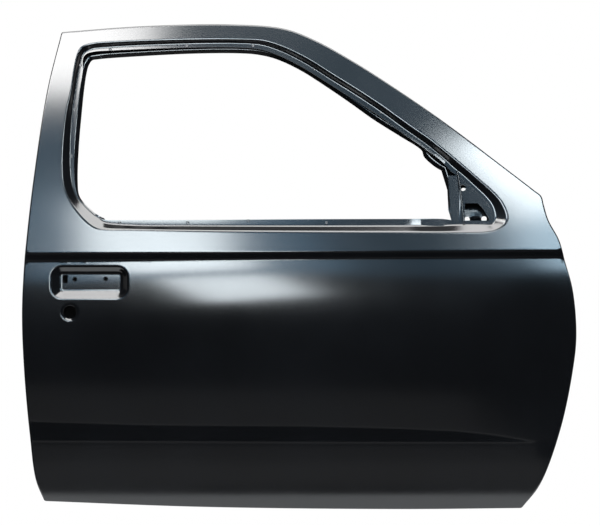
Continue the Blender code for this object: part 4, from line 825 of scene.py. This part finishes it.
def wall_holes():
    """Cutters through the end walls and the sill wall."""
    shapes = []
    seats = [(HINGE_WALL, HINGE_SEAT_DEPTH, height, HINGE_BOLT_PITCH, HINGE_BOLT_HOLE)
             for height in HINGE_HEIGHTS]
    seats.append((HINGE_WALL, HINGE_SEAT_DEPTH, CHECK_HEIGHT, CHECK_BOLT_PITCH, CHECK_BOLT_HOLE))
    seats.append((LATCH_WALL, LATCH_DEPTH, LATCH_HEIGHT, LATCH_SCREW_PITCH, LATCH_SCREW_HOLE))
    for wall, depth, height, pitch, radius in seats:
        for side in (-1, 1):
            shapes.append(((wall, depth, height + side * pitch / 2), radius, 2 * CUT_REACH))
    for wall, depth, height, width, tall in (
            (HINGE_WALL, HINGE_SEAT_DEPTH, CHECK_HEIGHT, CHECK_SLOT_WIDTH, CHECK_SLOT_HEIGHT),
            (LATCH_WALL, LATCH_DEPTH, LATCH_HEIGHT, LATCH_SLOT_WIDTH, LATCH_SLOT_HEIGHT)):
        shapes.append(((wall - CUT_REACH, depth - width / 2, height - tall / 2),
                       (wall + CUT_REACH, depth + width / 2, height + tall / 2)))
    for share in DRAIN_PLACE_SHARES:
        x, y = share * DOOR_LENGTH, BOX_DEPTH - DRAIN_SETBACK
        shapes.append(((x - DRAIN_LENGTH / 2, y - DRAIN_WIDTH / 2, SILL_WALL_HEIGHT - CUT_REACH),
                       (x + DRAIN_LENGTH / 2, y + DRAIN_WIDTH / 2, SILL_WALL_HEIGHT + CUT_REACH)))
    return shapes


def window_channel():
    """Channel around the rear, top and sloping sides of the window, open towards the glass."""
    sheet = Sheet()
    face, foot, flange, lip = window_loops()
    wide = np.linalg.norm(flange - foot, axis=1) > 2 * CHANNEL_LIP_GAP
    number = np.arange(len(face))
    used = wide & (number > window_number(RUN_FIRST_ROW)) & (number < window_number(RUN_LAST_ROW))
    face, foot, flange, lip = (loop[used] for loop in (face, foot, flange, lip))
    inwards = (lip - face) / np.linalg.norm(lip - face, axis=1)[:, None]
    web, end = foot + inwards * CHANNEL_SETBACK, lip - inwards * CHANNEL_LIP_GAP
    leg = WINDOW_STEP + GAUGE + SEAT_GAP
    rows = [lift(flange - inwards * CHANNEL_SETBACK, leg), lift(web, leg)]
    fold, turned = lip - inwards * LIP_WIDTH, lip_turn(end) * (1 - CHANNEL_LIP_GAP / LIP_WIDTH)
    rows += [np.stack((p[:, 0], inner_y(*p.T) - PRESS_GAP + turn, p[:, 1]), 1)
             for p, turn in ((web, 0), (fold, 0), (end, turned))]
    sheet.strips(bent(rows, (CHANNEL_BEND, CHANNEL_BEND, LIP_BEND)), closed=False)
    return finished("window_channel", sheet, RUN_GAUGE, INBOARD)


def mirror_plate():
    """Plate behind the mirror corner's flange, with the mirror's bolt hole and a service window."""
    sheet = Sheet()
    depth = WINDOW_STEP + GAUGE + MIRROR_PLATE_GAP
    outline, window = (np.array([place(share) for share in shares])
                       for shares in (MIRROR_PLATE_SHARES, MIRROR_WINDOW_SHARES))
    hole = circle(place(MIRROR_HOLE_SHARE), MIRROR_HOLE_RADIUS, HOLE_STEPS)
    outer, *holes = (sheet.row(flange_lift(loop, depth)) for loop in (outline, window, hole))
    places = grid(GRID_STEP, outline.min(0), outline.max(0), outline, [window, hole], ROW_MARGIN)
    sheet.fill(outer, holes, sheet.row(flange_lift(places, depth)))
    return finished("mirror_plate", sheet, BRACKET_GAUGE, OUTBOARD)


def corner_rib():
    """Half-round fold between the front glass run and the mirror corner's plate."""
    sheet = Sheet()
    line = np.array([place(share) for share in RIB_SHARES])
    across = np.gradient(line, axis=0)
    across = np.stack((-across[:, 1], across[:, 0]), 1) / np.linalg.norm(across, axis=1)[:, None]
    rows = []
    for angle in np.linspace(0, math.pi, 2 * BEND_STEPS):
        flat = line + across * RIB_RADIUS * math.cos(angle)
        rows.append(flange_lift(flat, WINDOW_STEP - GAUGE / 2 - RIB_RADIUS * math.sin(angle)))
    sheet.strips(rows, closed=False)
    return finished("corner_rib", sheet, GAUGE, OUTBOARD)


def spot_welds():
    """Shallow weld marks on the window flange and on the lip behind it."""
    sheet = Sheet()
    for shares, radius, surface, depth in (
            (FLANGE_WELD_SHARES, WELD_RADIUS, flange_lift, WINDOW_STEP),
            (LIP_WELD_SHARES, LIP_WELD_RADIUS, lift_inner, 0)):
        for share in shares:
            rows = [surface(circle(place(share), radius * out, HOLE_STEPS), depth)
                    - (0, WELD_RISE * rise, 0) for out, rise in WELD_PROFILE]
            _, last = sheet.strips(rows)
            sheet.faces.append(tuple(last))
    return finished("spot_welds", sheet, WELD_GAUGE, OUTBOARD)


def set_range(ramp, source, target):
    """Makes a Map Range node turn the source's range of values into the target's."""
    for title, value in zip(("From Min", "From Max", "To Min", "To Max"), (*source, *target)):
        ramp.inputs[title].default_value = value


def coat(name, colour, roughness, specular, grain, bump):
    """Baked primer or mastic: fine grain, and roughness that drifts over the surface."""
    paint = bpy.data.materials.new(name)
    paint.use_nodes = True
    nodes, links = paint.node_tree.nodes, paint.node_tree.links
    shader = nodes["Principled BSDF"]
    shader.inputs["Specular IOR Level"].default_value = specular
    shader.inputs["IOR"].default_value = PAINT_IOR
    where = nodes.new("ShaderNodeTexCoord")
    drift, fine = nodes.new("ShaderNodeTexNoise"), nodes.new("ShaderNodeTexNoise")
    for noise, scale, detail in ((drift, DRIFT_SCALE, DRIFT_DETAIL), (fine, grain, GRAIN_DETAIL)):
        noise.inputs["Scale"].default_value = scale
        noise.inputs["Detail"].default_value = detail
        links.new(where.outputs["Object"], noise.inputs["Vector"])
    tone, gloss = nodes.new("ShaderNodeMapRange"), nodes.new("ShaderNodeMapRange")
    mix = nodes.new("ShaderNodeMix")
    mix.data_type = "RGBA"
    for socket, share in zip(MIX_COLOUR_SOCKETS, DRIFT_TONES):
        mix.inputs[socket].default_value = (*(c * share for c in colour), 1)
    for ramp, reach in ((tone, (0, 1)), (gloss, roughness)):
        links.new(drift.outputs["Fac"], ramp.inputs["Value"])
        set_range(ramp, DRIFT_BAND, reach)
    links.new(tone.outputs["Result"], mix.inputs["Factor"])
    links.new(mix.outputs[MIX_COLOUR_RESULT], shader.inputs["Base Color"])
    links.new(gloss.outputs["Result"], shader.inputs["Roughness"])
    dents = nodes.new("ShaderNodeBump")
    dents.inputs["Strength"].default_value = bump
    dents.inputs["Distance"].default_value = GRAIN_DEPTH
    links.new(fine.outputs["Fac"], dents.inputs["Height"])
    links.new(dents.outputs["Normal"], shader.inputs["Normal"])
    return paint


def floor():
    """Pale ground under the door: it glows for the camera, faintly in gloss, and keeps the shadow."""
    ground = bpy.data.materials.new("ground")
    ground.use_nodes = True
    nodes, links = ground.node_tree.nodes, ground.node_tree.links
    shader = nodes["Principled BSDF"]
    shader.inputs["Base Color"].default_value = FLOOR_COLOUR
    shader.inputs["Roughness"].default_value = FLOOR_ROUGHNESS
    shader.inputs["Emission Color"].default_value = (*WHITE, 1)
    path = nodes.new("ShaderNodeLightPath")
    glow = None
    for ray, strength in (("Is Camera Ray", FLOOR_GLOW), ("Is Glossy Ray", FLOOR_SHEEN),
                          ("Is Transmission Ray", FLOOR_SHEEN)):
        gain = nodes.new("ShaderNodeMath")
        gain.operation = "MULTIPLY_ADD"
        gain.inputs[1].default_value = strength
        gain.inputs[2].default_value = 0
        links.new(path.outputs[ray], gain.inputs[0])
        if glow:
            links.new(glow, gain.inputs[2])
        glow = gain.outputs["Value"]
    links.new(glow, shader.inputs["Emission Strength"])
    (left, near), (right, far) = FLOOR_BOX
    level = -HINGE_SEAT[-1] - FLOOR_DROP
    corners = [(x, y, level) for x, y in ((left, near), (right, near), (right, far), (left, far))]
    mesh = bpy.data.meshes.new("ground")
    mesh.from_pydata(corners, [], [range(len(corners))])
    mesh.materials.append(ground)
    plane = bpy.data.objects.new("ground", mesh)
    bpy.context.collection.objects.link(plane)


def sky():
    """White to the camera; other rays find it bright behind the door and dim in front of it."""
    world = bpy.data.worlds.new("studio")
    bpy.context.scene.world = world
    world.use_nodes = True
    nodes, links = world.node_tree.nodes, world.node_tree.links
    light = nodes["Background"]
    path, where, split = (nodes.new("ShaderNode" + kind) for kind in
                          ("LightPath", "TexCoord", "SeparateXYZ"))
    ramp = nodes.new("ShaderNodeMapRange")
    set_range(ramp, SKY_BAND, (SKY_FRONT, SKY_BACK))
    links.new(where.outputs["Generated"], split.inputs[0])
    links.new(split.outputs["Y"], ramp.inputs["Value"])
    mix = nodes.new("ShaderNodeMix")
    links.new(path.outputs["Is Camera Ray"], mix.inputs["Factor"])
    links.new(ramp.outputs["Result"], mix.inputs["A"])
    mix.inputs["B"].default_value = 1
    links.new(mix.outputs["Result"], light.inputs["Strength"])
    light.inputs["Color"].default_value = (*WHITE, 1)


def area_lamp(name, spot, width, height, turn, radiance, tint):
    """Rectangular lamp in door coordinates, which glows with its radiance whatever its size."""
    lamp = bpy.data.lights.new(name, "AREA")
    lamp.shape = "RECTANGLE"
    lamp.size, lamp.size_y = width, height
    lamp.energy = radiance * LAMP_POWER * width * height
    lamp.color = tint
    holder = bpy.data.objects.new(name, lamp)
    bpy.context.collection.objects.link(holder)
    holder.location = np.array(spot) - HINGE_SEAT
    holder.rotation_euler = turn
    holder.visible_camera = False


def softbox(name, x, z, width, height, lean, radiance, tint):
    """Lamp across from the door, its top leaning to the rear."""
    turn = (QUARTER_TURN, -math.radians(lean), 0)
    area_lamp(name, (x, -LAMP_DISTANCE, z), width, height, turn, radiance, tint)


def top_lamp():
    """Lamp above and in front of the door, seen mostly in the folds that face up."""
    (rear, outer), (front, inner), level, radiance = TOP_LAMP
    spot = ((rear + front) / 2, (outer + inner) / 2, level)
    area_lamp("softbox_top", spot, front - rear, inner - outer, (0, 0, 0), radiance, WHITE)


def camera():
    """Camera square on to the door's outer side, far enough away for a flat view."""
    scene = bpy.context.scene
    lens = bpy.data.cameras.new("camera")
    lens.sensor_width = SENSOR
    lens.lens = SENSOR * CAMERA_DISTANCE / VIEW_WIDTH
    lens.clip_end = CLIP_END
    holder = bpy.data.objects.new("camera", lens)
    bpy.context.collection.objects.link(holder)
    holder.location = (VIEW_CENTRE[0], -CAMERA_DISTANCE, VIEW_CENTRE[1])
    holder.rotation_euler = (QUARTER_TURN, 0, 0)
    scene.camera = holder


def build():
    """Dresses the frame, replaces four of its nodes by fine pressings, and sets up the studio."""
    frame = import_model()
    black, mastic = coat("black_primer", *PRIMER), coat("mastic", *MASTIC)
    for name, node in frame["nodes"].items():
        node.data.materials.clear()
        node.data.materials.append(mastic if name.startswith("flutter_pad") else black)
    made = ((door_skin(), ("outer_panel",)), (inner_pressing(), ("inner_panel",)),
            (window_channel(), ("glass_run_channel",)), (mirror_plate(), ("mirror_mount_plate",)),
            (corner_rib(), ()), (spot_welds(), ()))
    for piece, nodes in made:
        piece.data.materials.clear()
        piece.data.materials.append(black)
        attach(piece, "root")
        if nodes:
            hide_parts(*nodes)
    sky()
    floor()
    for lamp in SOFTBOXES:
        softbox(*lamp)
    top_lamp()
    camera()
    bpy.context.scene.view_settings.view_transform = "Standard"


build()
